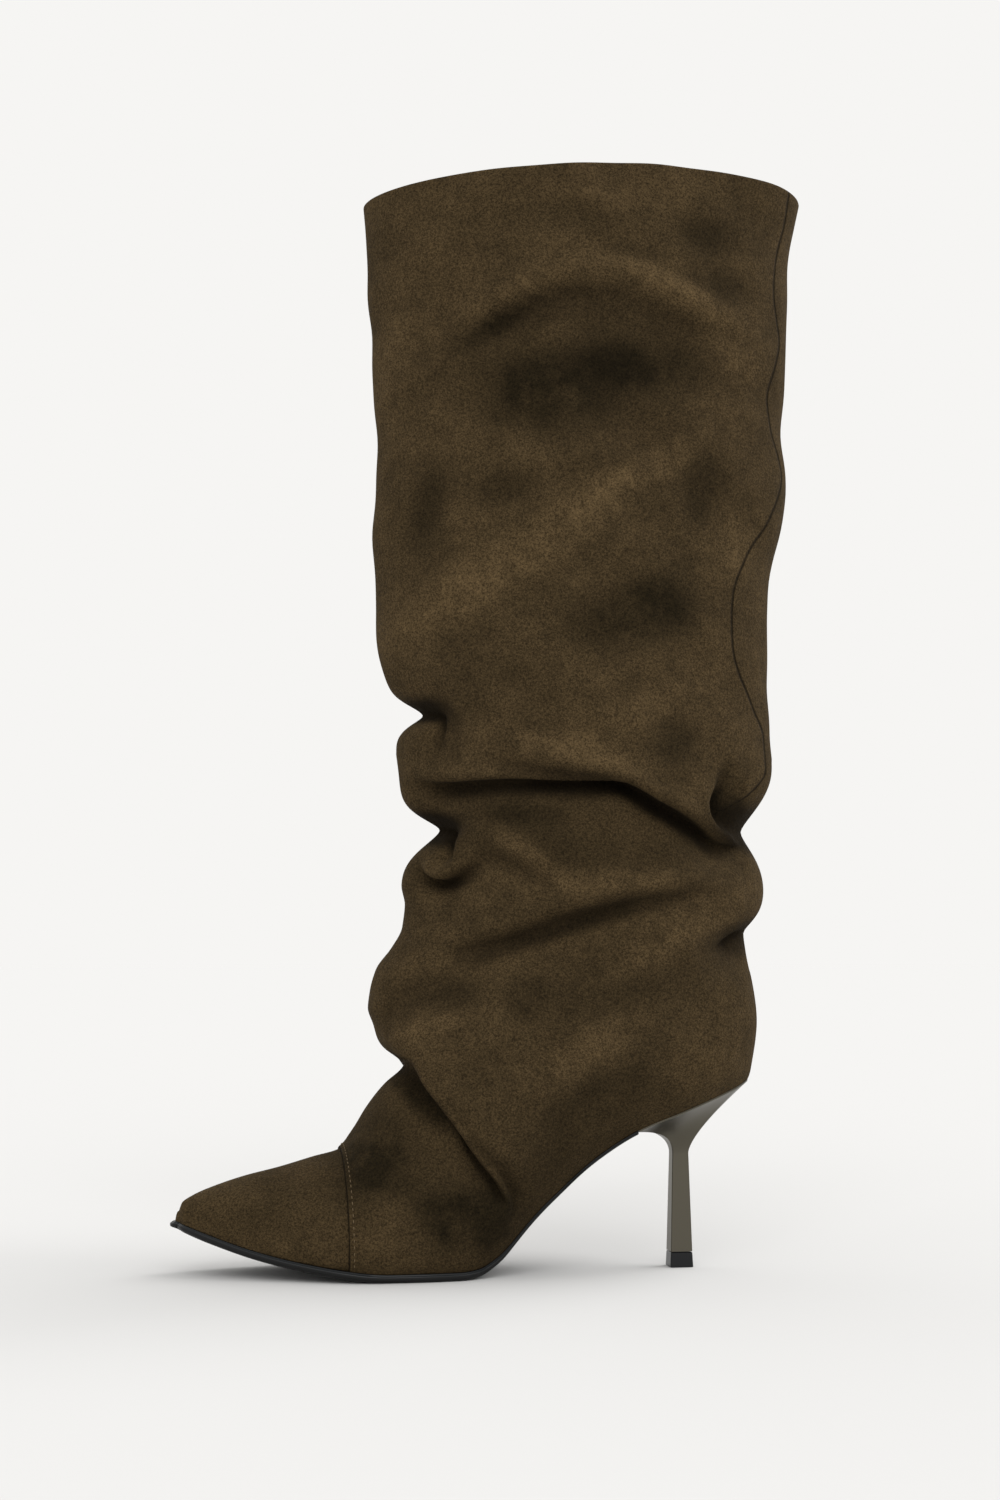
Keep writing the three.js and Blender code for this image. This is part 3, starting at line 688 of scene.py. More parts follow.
class BootFineness(bpy.types.PropertyGroup):
    """How finely the surfaces are divided."""

    outer_columns: IntProperty(name="Outer Columns", description="Faces across the outer side", default=158)
    inner_columns: IntProperty(name="Inner Columns", description="Faces across the inner side", default=98)
    lining_columns: IntProperty(name="Lining Columns", description="Faces around the lining", default=60)
    sole_stations: IntProperty(name="Sole Stations", description="Sections along the sole", default=180)
    round_steps: IntProperty(name="Round Steps", description="Steps of a rounded end or edge", default=6)
    heel_side_steps: IntProperty(name="Heel Side Steps", description="Faces across a heel's side", default=12)
    corner_steps: IntProperty(name="Corner Steps", description="Faces round a heel's corner", default=3)
    stem_steps: IntProperty(name="Stem Steps", description="Faces up the heel's stem", default=10)
    flare_steps: IntProperty(name="Flare Steps", description="Faces up the heel's flare", default=30)


class SuedePattern(bpy.types.PropertyGroup):
    """Real sizes of the microsuede's pattern."""

    patch: millimetres("Nap Patch", "Size of the patches where the nap lies one way", 26)
    cloud: millimetres("Nap Cloud", "Size of the smaller brushed clouds", 7)
    grain: millimetres("Grain", "Size of the fibre tufts", 1.0)
    fibre: millimetres("Fibre", "Size of the finest fleck; real fibres are finer than a pixel", 0.55)
    seam_line: millimetres("Seam Line", "Half width of the back seam's groove", 1)
    edge_line: millimetres("Edge Line", "Width of the shadow beside the toe seam's edge", 0.8)


class StudioSettings(bpy.types.PropertyGroup):
    """Camera and lights."""

    camera_place: FloatVectorProperty(
        name="Camera Place",
        description="Where the camera stands",
        default=(-0.23443, -0.98769, 0.13),
        subtype="XYZ",
    )
    camera_aim: FloatVectorProperty(
        name="Camera Aim", description="What the camera looks at", default=(-0.078, 0, 0.2214), subtype="XYZ"
    )
    lens: FloatProperty(name="Lens", description="Focal length", default=55.68, unit="CAMERA")
    key_from: FloatVectorProperty(
        name="Key From",
        description="Where the key light comes from",
        default=(0.6, 0.08, 0.8),
        subtype="DIRECTION",
    )
    key_strength: FloatProperty(name="Key", description="Strength of the key light", default=1.6)
    fill_from: FloatVectorProperty(
        name="Fill From",
        description="Where the fill comes from",
        default=(-0.05, -0.8, 0.6),
        subtype="DIRECTION",
    )
    fill_strength: FloatProperty(name="Fill", description="Strength of the fill", default=1.1)
    softness: FloatProperty(name="Softness", description="Spread of each light", default=0.8, subtype="ANGLE")
    floor_size: FloatProperty(name="Floor Size", description="Side of the paper", default=120, unit="LENGTH")


def smoothstep(value, low, high):
    t = np.clip((value - low) / (high - low), 0, 1)
    return t * t * (3 - 2 * t)


def curve_through(points):
    """A smooth curve through keyed values that never swings past them."""
    keys, values = np.array(points, float).T
    steps = np.diff(keys)
    slopes = np.diff(values) / steps
    tangents = np.zeros_like(values)
    tangents[0], tangents[-1] = slopes[0], slopes[-1]
    for i in range(1, len(slopes)):
        before, after = slopes[i - 1], slopes[i]
        if before * after > 0:
            weighted = (2 * steps[i] + steps[i - 1]) / before + (steps[i] + 2 * steps[i - 1]) / after
            tangents[i] = 3 * (steps[i - 1] + steps[i]) / weighted

    def value_at(place):
        place = np.asarray(place, float)
        i = np.clip(np.searchsorted(keys, place, side="right") - 1, 0, len(steps) - 1)
        t = np.clip((place - keys[i]) / steps[i], 0, 1)
        between = values[i] * (1 + 2 * t) * (1 - t) ** 2 + values[i + 1] * t * t * (3 - 2 * t)
        between = between + steps[i] * t * (1 - t) * (tangents[i] * (1 - t) - tangents[i + 1] * t)
        past_start = np.minimum(place - keys[0], 0) * tangents[0]
        past_end = np.maximum(place - keys[-1], 0) * tangents[-1]
        return between + past_start + past_end

    return value_at


def column(rows, index):
    return curve_through([(row[0], row[index]) for row in rows])


def way_along(points):
    """How far along a line each of its points lies."""
    return np.concatenate([[0], np.cumsum(np.linalg.norm(np.diff(points, axis=0), axis=1))])


def smooth_line(points, pieces=4):
    """The same line with a few more points, so that it bends instead of turning corners."""
    points = np.array(points, float)
    lengths = np.hypot(*np.diff(points[:, :2], axis=0).T)
    travelled = np.concatenate([[0], np.cumsum(lengths)])
    stretches = zip(travelled, travelled[1:])
    places = np.concatenate([np.linspace(a, b, pieces, endpoint=False) for a, b in stretches])
    places = np.append(places, travelled[-1])
    return np.stack([curve_through(list(zip(travelled, values)))(places) for values in points.T], axis=-1)


def nearest_on_line(line, x, z):
    """Signed distance to a line of the side view, its third column there, and which way is above it."""
    distance = np.full(x.shape, np.inf)
    signed, depth, above_x, above_z = (np.zeros(x.shape) for _ in range(4))
    for (x0, z0, depth0), (x1, z1, depth1) in zip(line, line[1:]):
        run, rise = x1 - x0, z1 - z0
        length = np.hypot(run, rise)
        t = np.clip(((x - x0) * run + (z - z0) * rise) / length**2, 0, 1)
        off_x, off_z = x - x0 - t * run, z - z0 - t * rise
        away = np.hypot(off_x, off_z)
        near = away < distance
        distance = np.where(near, away, distance)
        signed = np.where(near, away * np.sign(run * off_z - rise * off_x), signed)
        depth = np.where(near, depth0 + (depth1 - depth0) * t, depth)
        above_x = np.where(near, -rise / length, above_x)
        above_z = np.where(near, run / length, above_z)
    return signed, depth, above_x, above_z


def unit(vectors):
    tiny = 1e-12
    return vectors / np.maximum(np.linalg.norm(vectors, axis=-1, keepdims=True), tiny)


def grid_normals(points):
    """Outward normals of a grid of rings by columns that closes on itself across its columns."""
    along = np.gradient(points, axis=0)
    across = np.roll(points, -1, axis=1) - np.roll(points, 1, axis=1)
    return unit(np.cross(along, across))


class Last:
    """The boot's form, worked out from its sizes: rings from the toe tip to the collar, with their folds."""

    valley_power = 1.5
    roll_place = 2.0  # in shares of the fold's reach above its line
    roll_width = 0.7
    lip_place = 1.6
    lip_fade = 1.4  # in shares of fold_reach
    one_side_fade = (0.1, 0.6)
    inner_stroke_share = 0.5  # how strongly the inner side shows the strokes of nap tone and painted light and shade
    stroke_edge = 1.8  # how sharp a stroke's edge is, where 1 is a soft bell
    shade_under = (0.4, 1.3)  # where the shade ends above a line, in shares of the fold's reach there
    shade_fade = (0.25, 0.85)  # where it fades below the line, in shares of the reach there
    edge_steps = 220  # points round half a ring when the sole's edge is looked for
    halvings = 30

    def __init__(self, sizes):
        self.sizes = sizes
        self.heel_back = sizes.heel_set_in
        self.leg_axis = self.heel_back - sizes.leg_set_in
        self.breast = self.heel_back - sizes.breast_set_in
        under = [
            (share, sizes.heel_height * heel + sizes.toe_spring * toe, sizes.sole_thickness * sole)
            for share, heel, toe, sole in UNDERSIDE_ROWS
        ]
        self.underside_at, self.sole_depth_at = column(under, 1), column(under, 2)
        ridge = []
        for ring, along, over in VAMP_RIDGE_ROWS:
            x = self.on_foot(along)
            ridge.append((ring, x, self.feather(x) + sizes.vamp_height * over))
        for ring, reach, up in SHIN_RIDGE_ROWS:
            ridge.append((ring, self.on_leg(reach), self.up_leg(up)))
        keel = []
        for ring, along in SOLE_KEEL_ROWS:
            x = self.on_foot(along)
            keel.append((ring, x, self.feather(x) - sizes.keel_drop))
        for ring, along, up in HEEL_CUP_ROWS:
            keel.append((ring, self.on_foot(along), self.up_leg(up)))
        for ring, reach, up in CALF_KEEL_ROWS:
            keel.append((ring, self.on_leg(reach), self.up_leg(up)))
        ball, ankle, shaft = sizes.ball_width / 2, sizes.ankle_width / 2, sizes.shaft_width / 2
        girth = [
            (ring, ball * outer, ball * inner, ball * sway) for ring, outer, inner, sway in FOOT_GIRTH_ROWS
        ]
        girth += [(ring, ankle * both, ankle * both, ankle * sway) for ring, both, sway in ANKLE_GIRTH_ROWS]
        girth += [(ring, shaft * both, shaft * both, 0) for ring, both in LEG_GIRTH_ROWS]
        self.ridge_x, self.ridge_z = column(ridge, 1), column(ridge, 2)
        self.keel_x, self.keel_z = column(keel, 1), column(keel, 2)
        self.outer_girth, self.inner_girth, self.sway = (column(girth, index) for index in (1, 2, 3))
        self.belly, self.front_shape, self.back_shape = (column(SHAPE_ROWS, index) for index in (1, 2, 3))
        self.folds = [(fold, smooth_line(self.side_view(fold.line))) for fold in FOLDS]
        seam = self.side_view([(reach, up, 0) for reach, up in BACK_SEAM_ROWS])
        self.back_seam = smooth_line(seam, pieces=6)

    def on_foot(self, share):
        return self.heel_back - self.sizes.foot_length * share

    def on_leg(self, share):
        return self.leg_axis + self.sizes.shaft_depth * share

    def up_leg(self, share):
        return self.sizes.heel_height + self.sizes.leg_height * share

    def side_view(self, rows):
        depth = self.sizes.fold_depth
        return [(self.on_leg(reach), self.up_leg(up), depth * share) for reach, up, share in rows]

    def underside(self, x):
        return self.underside_at((self.heel_back - x) / self.sizes.foot_length)

    def feather(self, x):
        """Height of the leather's lower edge, which lies on the sole."""
        share = (self.heel_back - x) / self.sizes.foot_length
        return self.underside_at(share) + self.sole_depth_at(share)

    def plain(self, ring, angle):
        """Points without folds: the angle goes from the ridge over the inner side to the keel and back."""
        ring, angle = np.broadcast_arrays(np.asarray(ring, float), np.asarray(angle, float))
        up, out = np.cos(angle), np.sin(angle)
        belly = self.belly(ring)
        power = 2 / np.where(up > 0, self.front_shape(ring), self.back_shape(ring))
        rise = np.abs(up) ** power
        share = np.where(up > 0, belly + (1 - belly) * rise, belly * (1 - rise))
        girth = np.where(out < 0, self.outer_girth(ring), self.inner_girth(ring))
        keel_x, keel_z = self.keel_x(ring), self.keel_z(ring)
        arch = self.sizes.collar_arch * smoothstep(ring, COLLAR_RING - COLLAR_ARCH_RINGS, COLLAR_RING)
        x = keel_x + (self.ridge_x(ring) - keel_x) * share
        y = self.sway(ring) + np.sign(out) * girth * np.abs(out) ** power
        z = keel_z + (self.ridge_z(ring) - keel_z) * share + arch * out * out
        return np.stack([x, y, z], axis=-1)

    def fold_places(self, x, z, out_share):
        """For each fold, how much of it acts at each place, and where the place lies from its line."""
        fade = smoothstep(np.abs(out_share), *self.one_side_fade)
        for fold, line in self.folds:
            share = np.ones(x.shape) if fold.side == "both" else fade
            if fold.side == "outer":
                share = np.where(out_share > 0, 0, share)
            if fold.side == "inner":
                share = np.where(out_share < 0, 0, share)
            yield fold, share, *nearest_on_line(line, x, z)

    def fold_shade(self, x, z, out_share):
        """Painted shade in the troughs, from 0 to 1: darkest right under the leather above."""
        shade = np.zeros(x.shape)
        for fold, share, signed, depth, _, _ in self.fold_places(x, z, out_share):
            above, below = self.sizes.fold_reach * fold.above, self.sizes.fold_reach * fold.below
            under = 1 - smoothstep(signed, *(above * share_above for share_above in self.shade_under))
            fading = 1 - smoothstep(-signed, *(below * share_below for share_below in self.shade_fade))
            shade += share * np.maximum(depth, 0) / self.sizes.fold_depth * under * fading
        return np.clip(shade, 0, 1)

    def fold_moves(self, x, z, out_share):
        """How far the folds move the leather along its normal, and how far in x and z they let it hang."""
        reach = self.sizes.fold_reach
        shift, hang_x, hang_z = (np.zeros(x.shape) for _ in range(3))
        for fold, share, signed, depth, above_x, above_z in self.fold_places(x, z, out_share):
            above, below = reach * fold.above, reach * fold.below
            spread = np.where(signed > 0, above, below)
            valley = np.exp(-((np.abs(signed) / spread) ** self.valley_power))
            roll_middle = self.roll_place * above
            roll = np.exp(-(((signed - roll_middle) / (self.roll_width * roll_middle)) ** 2))
            shift += share * depth * (fold.roll * roll - valley)
            lip = self.lip_place * above
            past_lip = np.maximum(signed - lip, 0) / (self.lip_fade * reach)
            hang = share * fold.overhang * depth * smoothstep(signed, 0, lip) * np.exp(-(past_lip**2))
            hang_x -= hang * above_x
            hang_z -= hang * above_z
        return shift, hang_x, hang_z

    def nap_tone_and_shade(self, x, z):
        """How light or dark the strokes make the leather at places of the side view, from -1 to 1: partly the
        nap's own tone, partly painted light and shade.
        """
        tone = np.zeros(np.shape(x))
        for reach, up, half_length, half_width, tilt, share in NAP_AND_SHADE_STROKES:
            run, rise = x - self.on_leg(reach), z - self.up_leg(up)
            turn = np.radians(tilt)
            along = (run * np.cos(turn) + rise * np.sin(turn)) / (half_length * self.sizes.shaft_depth)
            across = (rise * np.cos(turn) - run * np.sin(turn)) / (half_width * self.sizes.shaft_depth)
            tone = tone + share * np.exp(-((along**2 + across**2) ** self.stroke_edge))
        return np.clip(tone, -1, 1)

    def unevenness(self, x, z, ring):
        across, up = (x - self.leg_axis) / self.sizes.shaft_depth, z / self.sizes.leg_height
        waves = sum(
            share * np.sin(2 * np.pi * (a * across + b * up) + start) for a, b, start, share in UNEVEN_ROWS
        )
        return self.sizes.unevenness * waves * smoothstep(ring, *LEVEL_RINGS)

    def skin(self, ring, angle, seam_edge=TOE_SEAM_EDGE):
        """Points of the leather with its folds, and with the toe piece lower than the leg's panel."""
        ring, angle = np.broadcast_arrays(np.asarray(ring, float), np.asarray(angle, float))
        point = self.plain(ring, angle)
        ahead = self.plain(np.minimum(ring + RING_REACH, COLLAR_RING), angle)
        behind = self.plain(np.maximum(ring - RING_REACH, 0), angle)
        across = self.plain(ring, angle + ANGLE_REACH) - self.plain(ring, angle - ANGLE_REACH)
        normal = unit(np.cross(ahead - behind, across))
        normal[..., 2] *= 1 - smoothstep(ring, *LEVEL_RINGS)
        out_share = (point[..., 1] - self.sway(ring)) / self.outer_girth(ring)
        shift, hang_x, hang_z = self.fold_moves(point[..., 0], point[..., 2], out_share)
        shift = shift + self.unevenness(point[..., 0], point[..., 2], ring)
        # The strokes' tone, partly painted light and shade, also raises or sinks the leather a little.
        nap = self.nap_tone_and_shade(point[..., 0], point[..., 2]) * smoothstep(np.abs(out_share), *self.one_side_fade)
        shift = shift + self.sizes.nap_relief * nap * smoothstep(ring, *LEVEL_RINGS)
        shift = shift - self.sizes.toe_step * (1 - smoothstep(ring, *seam_edge))
        moved = point + unit(normal) * shift[..., None]
        moved[..., 0] += hang_x
        moved[..., 2] += hang_z
        return moved

    def on_sole(self, points, over=0.0):
        """The points, with those below the feather line lifted to it, so that the form is flat underneath."""
        floor = self.feather(np.minimum(points[..., 0], self.heel_back)) + over
        lifted = points.copy()
        lifted[..., 2] = np.maximum(points[..., 2], floor)
        return lifted

    def edge_over_sole(self, rings, side, over=0.0):
        """Where the leather crosses a height over the feather line: side is -1 outer or 1 inner."""
        angles = np.pi - side * np.linspace(0, np.pi, self.edge_steps)
        points = self.skin(np.asarray(rings)[:, None], angles[None, :], SOLE_SEAM_EDGE)
        height = points[..., 2] - self.feather(np.minimum(points[..., 0], self.heel_back)) - over
        first = np.maximum(np.argmax(height > 0, axis=1), 1)
        row = np.arange(len(first))
        low, high = height[row, first - 1], height[row, first]
        t = (low / (low - high))[:, None]
        return (points[row, first - 1] * (1 - t) + points[row, first] * t)[:, :2]

    def sole_edges(self, rings, over=0.0):
        """The leather's outer and inner edge at a height over the feather line, a pair for each ring."""
        return np.stack([self.edge_over_sole(rings, side, over) for side in (-1, 1)], axis=1)

    def last_ring_over_sole(self, over=0.0):
        """The last ring whose keel lies below a height over the feather line."""
        below, above = float(SOLE_KEEL_ROWS[-1][0]), float(HEEL_CUP_ROWS[-1][0])
        for _ in range(self.halvings):
            middle = (below + above) / 2
            if self.keel_z(middle) < self.feather(min(self.keel_x(middle), self.heel_back)) + over:
                below = middle
            else:
                above = middle
        return below


def ring_marks(rows):
    return np.concatenate([np.linspace(first, last, steps + 1) for first, last, steps in rows])


def side_angles(inner_columns, outer_columns):
    """Angles once round a ring, a little closer in the middle of each side than at ridge and keel."""
    squeeze = 0.12
    inner = np.arange(inner_columns) / inner_columns
    outer = np.arange(outer_columns) / outer_columns
    shares = np.concatenate([inner, 1 + outer])
    return np.pi * shares + squeeze * np.sin(2 * np.pi * shares)


def widened(pairs, distance):
    """The two edges of an outline, moved out by a distance, or in where it is below zero."""
    outline = np.concatenate([pairs[:, 0], pairs[::-1, 1]])
    along = unit(np.roll(outline, -1, axis=0) - np.roll(outline, 1, axis=0))
    moved = outline + distance * np.stack([along[:, 1], -along[:, 0]], axis=-1)
    count = len(pairs)
    return np.stack([moved[:count], moved[count:][::-1]], axis=1)


def rounded_start(pairs, bulge, steps):
    """The pairs with a rounded end ahead of the first one."""
    first, toward = pairs[0], unit(pairs[0].mean(axis=0) - pairs[1].mean(axis=0))
    middle = first.mean(axis=0)
    turns = np.linspace(np.pi / 2, 0, steps, endpoint=False)
    ends = []
    for turn in turns:
        shrunk = (first - middle) * max(np.cos(turn), SMALLEST_END)
        ends.append(middle + shrunk + toward * bulge * np.sin(turn))
    return np.concatenate([np.array(ends), pairs])


def cut_at(pairs, end):
    """The pairs up to one place along the foot, with the last pair exactly there."""
    kept = pairs[pairs[:, :, 0].max(axis=1) < end - MM]
    last = [[end, np.interp(end, pairs[:, side, 0], pairs[:, side, 1])] for side in (0, 1)]
    return np.concatenate([kept, [last]])


def grid_faces(rows, columns, closed=True, first=0):
    """Quads between the rings of a grid, facing along x across, with each ring closed where it is asked."""
    row = np.arange(rows - 1)[:, None] * columns
    here = np.arange(columns if closed else columns - 1)[None, :]
    after = (here + 1) % columns
    quads = np.stack([row + here, row + columns + here, row + columns + after, row + after], axis=-1)
    return (quads.reshape(-1, 4) + first).tolist()


def add_object(name, data):
    """Adds an object to the scene."""
    added = bpy.data.objects.new(name, data)
    bpy.context.scene.collection.objects.link(added)
    return added


def add_piece(name, points, faces, materials, replaces=(), sharp_over=180.0, flip=False):
    """Adds a named mesh in the boot's frame, smooth but for edges sharper than an angle in degrees."""
    mesh = bpy.data.meshes.new(name)
    faces = [face[::-1] for face in faces] if flip else faces
    mesh.from_pydata(np.asarray(points).reshape(-1, 3).tolist(), [], faces)
    mesh.validate()
    mesh.polygons.foreach_set("use_smooth", [True] * len(mesh.polygons))
    mesh.set_sharp_from_angle(angle=np.radians(sharp_over))
    piece = add_object(name, mesh)
    for material in materials:
        mesh.materials.append(material)
    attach(piece, "root")
    if replaces:
        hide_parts(*replaces)
    return piece


def add_loft(name, loops, materials, replaces=(), sharp_over=30.0):
    """Adds a closed mesh through loops with the same number of points, with flat ends."""
    loops = np.asarray(loops)
    rows, columns = loops.shape[:2]
    faces = grid_faces(rows, columns)
    start = list(range(columns))
    end = [(rows - 1) * columns + k for k in range(columns)]
    faces += [start, end[::-1]]
    piece = add_piece(name, loops, faces, materials, replaces, sharp_over)
    face_outward(piece)
    return piece


def face_outward(piece):
    """Turns the faces of a closed mesh outward where its volume comes out below zero."""
    mesh = piece.data
    mesh.calc_loop_triangles()
    points = np.array([vertex.co for vertex in mesh.vertices])
    corners = points[np.array([triangle.vertices for triangle in mesh.loop_triangles])]
    volume = np.einsum("ij,ij->i", corners[:, 0], np.cross(corners[:, 1], corners[:, 2])).sum()
    if volume < 0:
        mesh.flip_normals()


def hex_colour(text):
    """An sRGB colour such as #372c1f as the linear colour that a shader takes."""
    shares = [int(text[i : i + 2], 16) / 255 for i in (1, 3, 5)]
    return (*(((c + 0.055) / 1.055) ** 2.4 if c > 0.04045 else c / 12.92 for c in shares), 1)


def add_node(tree, kind, inputs=None, **settings):
    """Adds a node with its settings, and fills its inputs with values or with other nodes' outputs."""
    node = tree.nodes.new(kind)
    for name, value in settings.items():
        setattr(node, name, value)
    for name, value in (inputs or {}).items():
        if isinstance(value, bpy.types.NodeSocket):
            tree.links.new(value, node.inputs[name])
        else:
            node.inputs[name].default_value = value
    return node


def new_material(name):
    """An empty material with its shader and output joined: returns the material, its tree and the shader."""
    material = bpy.data.materials.new(name)
    material.use_nodes = True
    tree = material.node_tree
    tree.nodes.clear()
    shader = add_node(tree, "ShaderNodeBsdfPrincipled")
    add_node(tree, "ShaderNodeOutputMaterial", {"Surface": shader.outputs["BSDF"]})
    return material, tree, shader


def remap(tree, value, out_of, into, **settings):
    """A value taken out of one range into another, and held at its ends."""
    inputs = {"Value": value}
    for end, place in ((0, "Min"), (1, "Max")):
        inputs["From " + place] = out_of[end]
        inputs["To " + place] = into[end]
    return add_node(tree, "ShaderNodeMapRange", inputs, **settings).outputs["Result"]


def arithmetic(tree, operation, *values, **settings):
    """The result of one operation on up to three values."""
    inputs = dict(enumerate(values))
    return add_node(tree, "ShaderNodeMath", inputs, operation=operation, **settings).outputs["Value"]


def stored(tree, name):
    """A value that the mesh carries at each of its points."""
    return add_node(tree, "ShaderNodeAttribute", attribute_name=name).outputs["Fac"]


def suede_material(pattern):
    """Dark olive-brown microsuede: brushed patches of nap, short tufts and a faint glow at the edges."""
    material, tree, shader = new_material("Olive microsuede")
    place = add_node(tree, "ShaderNodeTexCoord").outputs["Object"]
    # patch: large areas where the nap is brushed one way or the other, the leather's slow changes of tone.
    # cloud: the mottling inside each patch, as left by a hand.
    # grain and fibre: tufts and flecks, which the eye reads as suede.
    noise_rows = [
        ("patch", pattern.patch, 2.0, 0.5),
        ("cloud", pattern.cloud, 3.0, 0.6),
        ("grain", pattern.grain, 3.0, 0.7),
        ("fibre", pattern.fibre, 2.0, 0.8),
    ]
    noise = {}
    for name, size, detail, roughness in noise_rows:
        inputs = {"Vector": place, "Scale": 1 / size, "Detail": detail, "Roughness": roughness}
        noise[name] = add_node(tree, "ShaderNodeTexNoise", inputs).outputs["Fac"]
    patch_share = remap(tree, noise["patch"], (0.36, 0.64), (0.3, 0.7))
    cloud_share = remap(tree, noise["cloud"], (0.3, 0.7), (0.28, 0.72))
    mixed = {"Factor": 0.5, "A": patch_share, "B": cloud_share}
    tone = add_node(tree, "ShaderNodeMix", mixed, data_type="FLOAT").outputs["Result"]
    # Strokes across the leg and vamp: partly the nap's own tone, partly painted light along their ridges and
    # painted shade in their hollows and over the vamp.
    # The clouds fray them, as a hand's strokes are.
    fraying = remap(tree, noise["cloud"], (0.3, 0.7), (0.45, 1.35))
    frayed = arithmetic(tree, "MULTIPLY", stored(tree, "nap_tone_and_shade"), fraying)
    stroke_strength = 0.5
    brushed = arithmetic(tree, "MULTIPLY_ADD", frayed, stroke_strength, tone, use_clamp=True)
    dark, light = hex_colour("#1f190e"), hex_colour("#52432d")
    nap = add_node(tree, "ShaderNodeMixRGB", {"Fac": brushed, "Color1": dark, "Color2": light})
    flecks = arithmetic(tree, "ADD", noise["grain"], noise["fibre"])
    dappled = {0: nap.outputs["Color"], 1: remap(tree, flecks, (0.8, 1.2), (0.45, 1.55))}
    tufted = add_node(tree, "ShaderNodeVectorMath", dappled, operation="MULTIPLY").outputs["Vector"]
    # The back seam is a stitched-shut groove: a dark line with the leather dipping into it.
    smooth = {"interpolation_type": "SMOOTHSTEP"}
    seam_off = arithmetic(tree, "ABSOLUTE", stored(tree, "back_seam"))
    seam_line = remap(tree, seam_off, (0.0, pattern.seam_line), (1.0, 0.0), **smooth)
    # The leg panel's cut edge throws a thin shadow onto the toe piece.
    edge = stored(tree, "toe_seam")
    edge_before = remap(tree, edge, (-pattern.edge_line, 0.0), (0.0, 1.0), **smooth)
    edge_after = remap(tree, edge, (0.0, pattern.edge_line / 2), (1.0, 0.0), **smooth)
    lines = arithmetic(tree, "MAXIMUM", seam_line, arithmetic(tree, "MULTIPLY", edge_before, edge_after))
    # Painted shade: the troughs go nearly black, darkest right under the leather above; the back seam's dark
    # line and the toe edge's painted shadow mix towards the same colour.
    lines_and_trough_shade = arithmetic(tree, "MAXIMUM", lines, stored(tree, "fold_shade"))
    trough_strength = 0.85
    darkened = arithmetic(tree, "MULTIPLY", lines_and_trough_shade, trough_strength)
    shaded = {"Fac": darkened, "Color1": tufted, "Color2": hex_colour("#0d0a06")}
    colour = add_node(tree, "ShaderNodeMixRGB", shaded).outputs["Color"]
    # The seams dip in, the clouds rise softly and the tufts stand up finely.
    groove = {"Height": lines, "Distance": 0.8 * MM, "Strength": 0.8}
    normal = add_node(tree, "ShaderNodeBump", groove, invert=True).outputs["Normal"]
    for height, distance, strength in ((noise["cloud"], 2 * MM, 0.6), (flecks, 0.5 * MM, 0.8)):
        relief = {"Height": height, "Distance": distance, "Strength": strength, "Normal": normal}
        normal = add_node(tree, "ShaderNodeBump", relief).outputs["Normal"]
    tree.links.new(colour, shader.inputs["Base Color"])
    tree.links.new(normal, shader.inputs["Normal"])
    shader.inputs["Roughness"].default_value = 0.95
    shader.inputs["Specular IOR Level"].default_value = 0.05
    shader.inputs["Sheen Weight"].default_value = 0.06
    shader.inputs["Sheen Roughness"].default_value = 0.45
    shader.inputs["Sheen Tint"].default_value = hex_colour("#8f7a5c")
    return material


def plain_material(
    name, colour, roughness, grain_size=None, grain_depth=0.0, metallic=0.0, coat=0.0, gloss=0.5
):
    """A material of one colour, with a fine surface grain where a grain size is given."""
    material, tree, shader = new_material(name)
    shader.inputs["Base Color"].default_value = hex_colour(colour)
    shader.inputs["Roughness"].default_value = roughness
    shader.inputs["Metallic"].default_value = metallic
    shader.inputs["Coat Weight"].default_value = coat
    shader.inputs["Specular IOR Level"].default_value = gloss
    if grain_size:
        place = add_node(tree, "ShaderNodeTexCoord").outputs["Object"]
        scale = 1 / grain_size
        grain = add_node(tree, "ShaderNodeTexNoise", {"Vector": place, "Scale": scale, "Detail": 3.0})
        relief = {"Height": grain.outputs["Fac"], "Distance": grain_depth, "Strength": 0.6}
        bump = add_node(tree, "ShaderNodeBump", relief)
        tree.links.new(bump.outputs["Normal"], shader.inputs["Normal"])
    return material


def square_loop(size, corner, height, side_steps, corner_steps):
    """A square with rounded corners, from its front outer corner round by the outer side and the back."""
    half = size / 2
    sides = [(-1, -1, 1, -1), (1, -1, 1, 1), (1, 1, -1, 1), (-1, 1, -1, -1)]
    points = []
    for x0, y0, x1, y1 in sides:
        for t in np.linspace(corner / size, 1 - corner / size, side_steps + 1):
            points.append((half * (x0 + (x1 - x0) * t), half * (y0 + (y1 - y0) * t), height))
        heading = np.arctan2(y1 - y0, x1 - x0)
        centre = np.array([x1, y1]) * (half - corner)
        for turn in np.arange(1, corner_steps) / corner_steps * np.pi / 2:
            angle = heading - np.pi / 2 + turn
            points.append((centre[0] + corner * np.cos(angle), centre[1] + corner * np.sin(angle), height))
    return np.array(points)


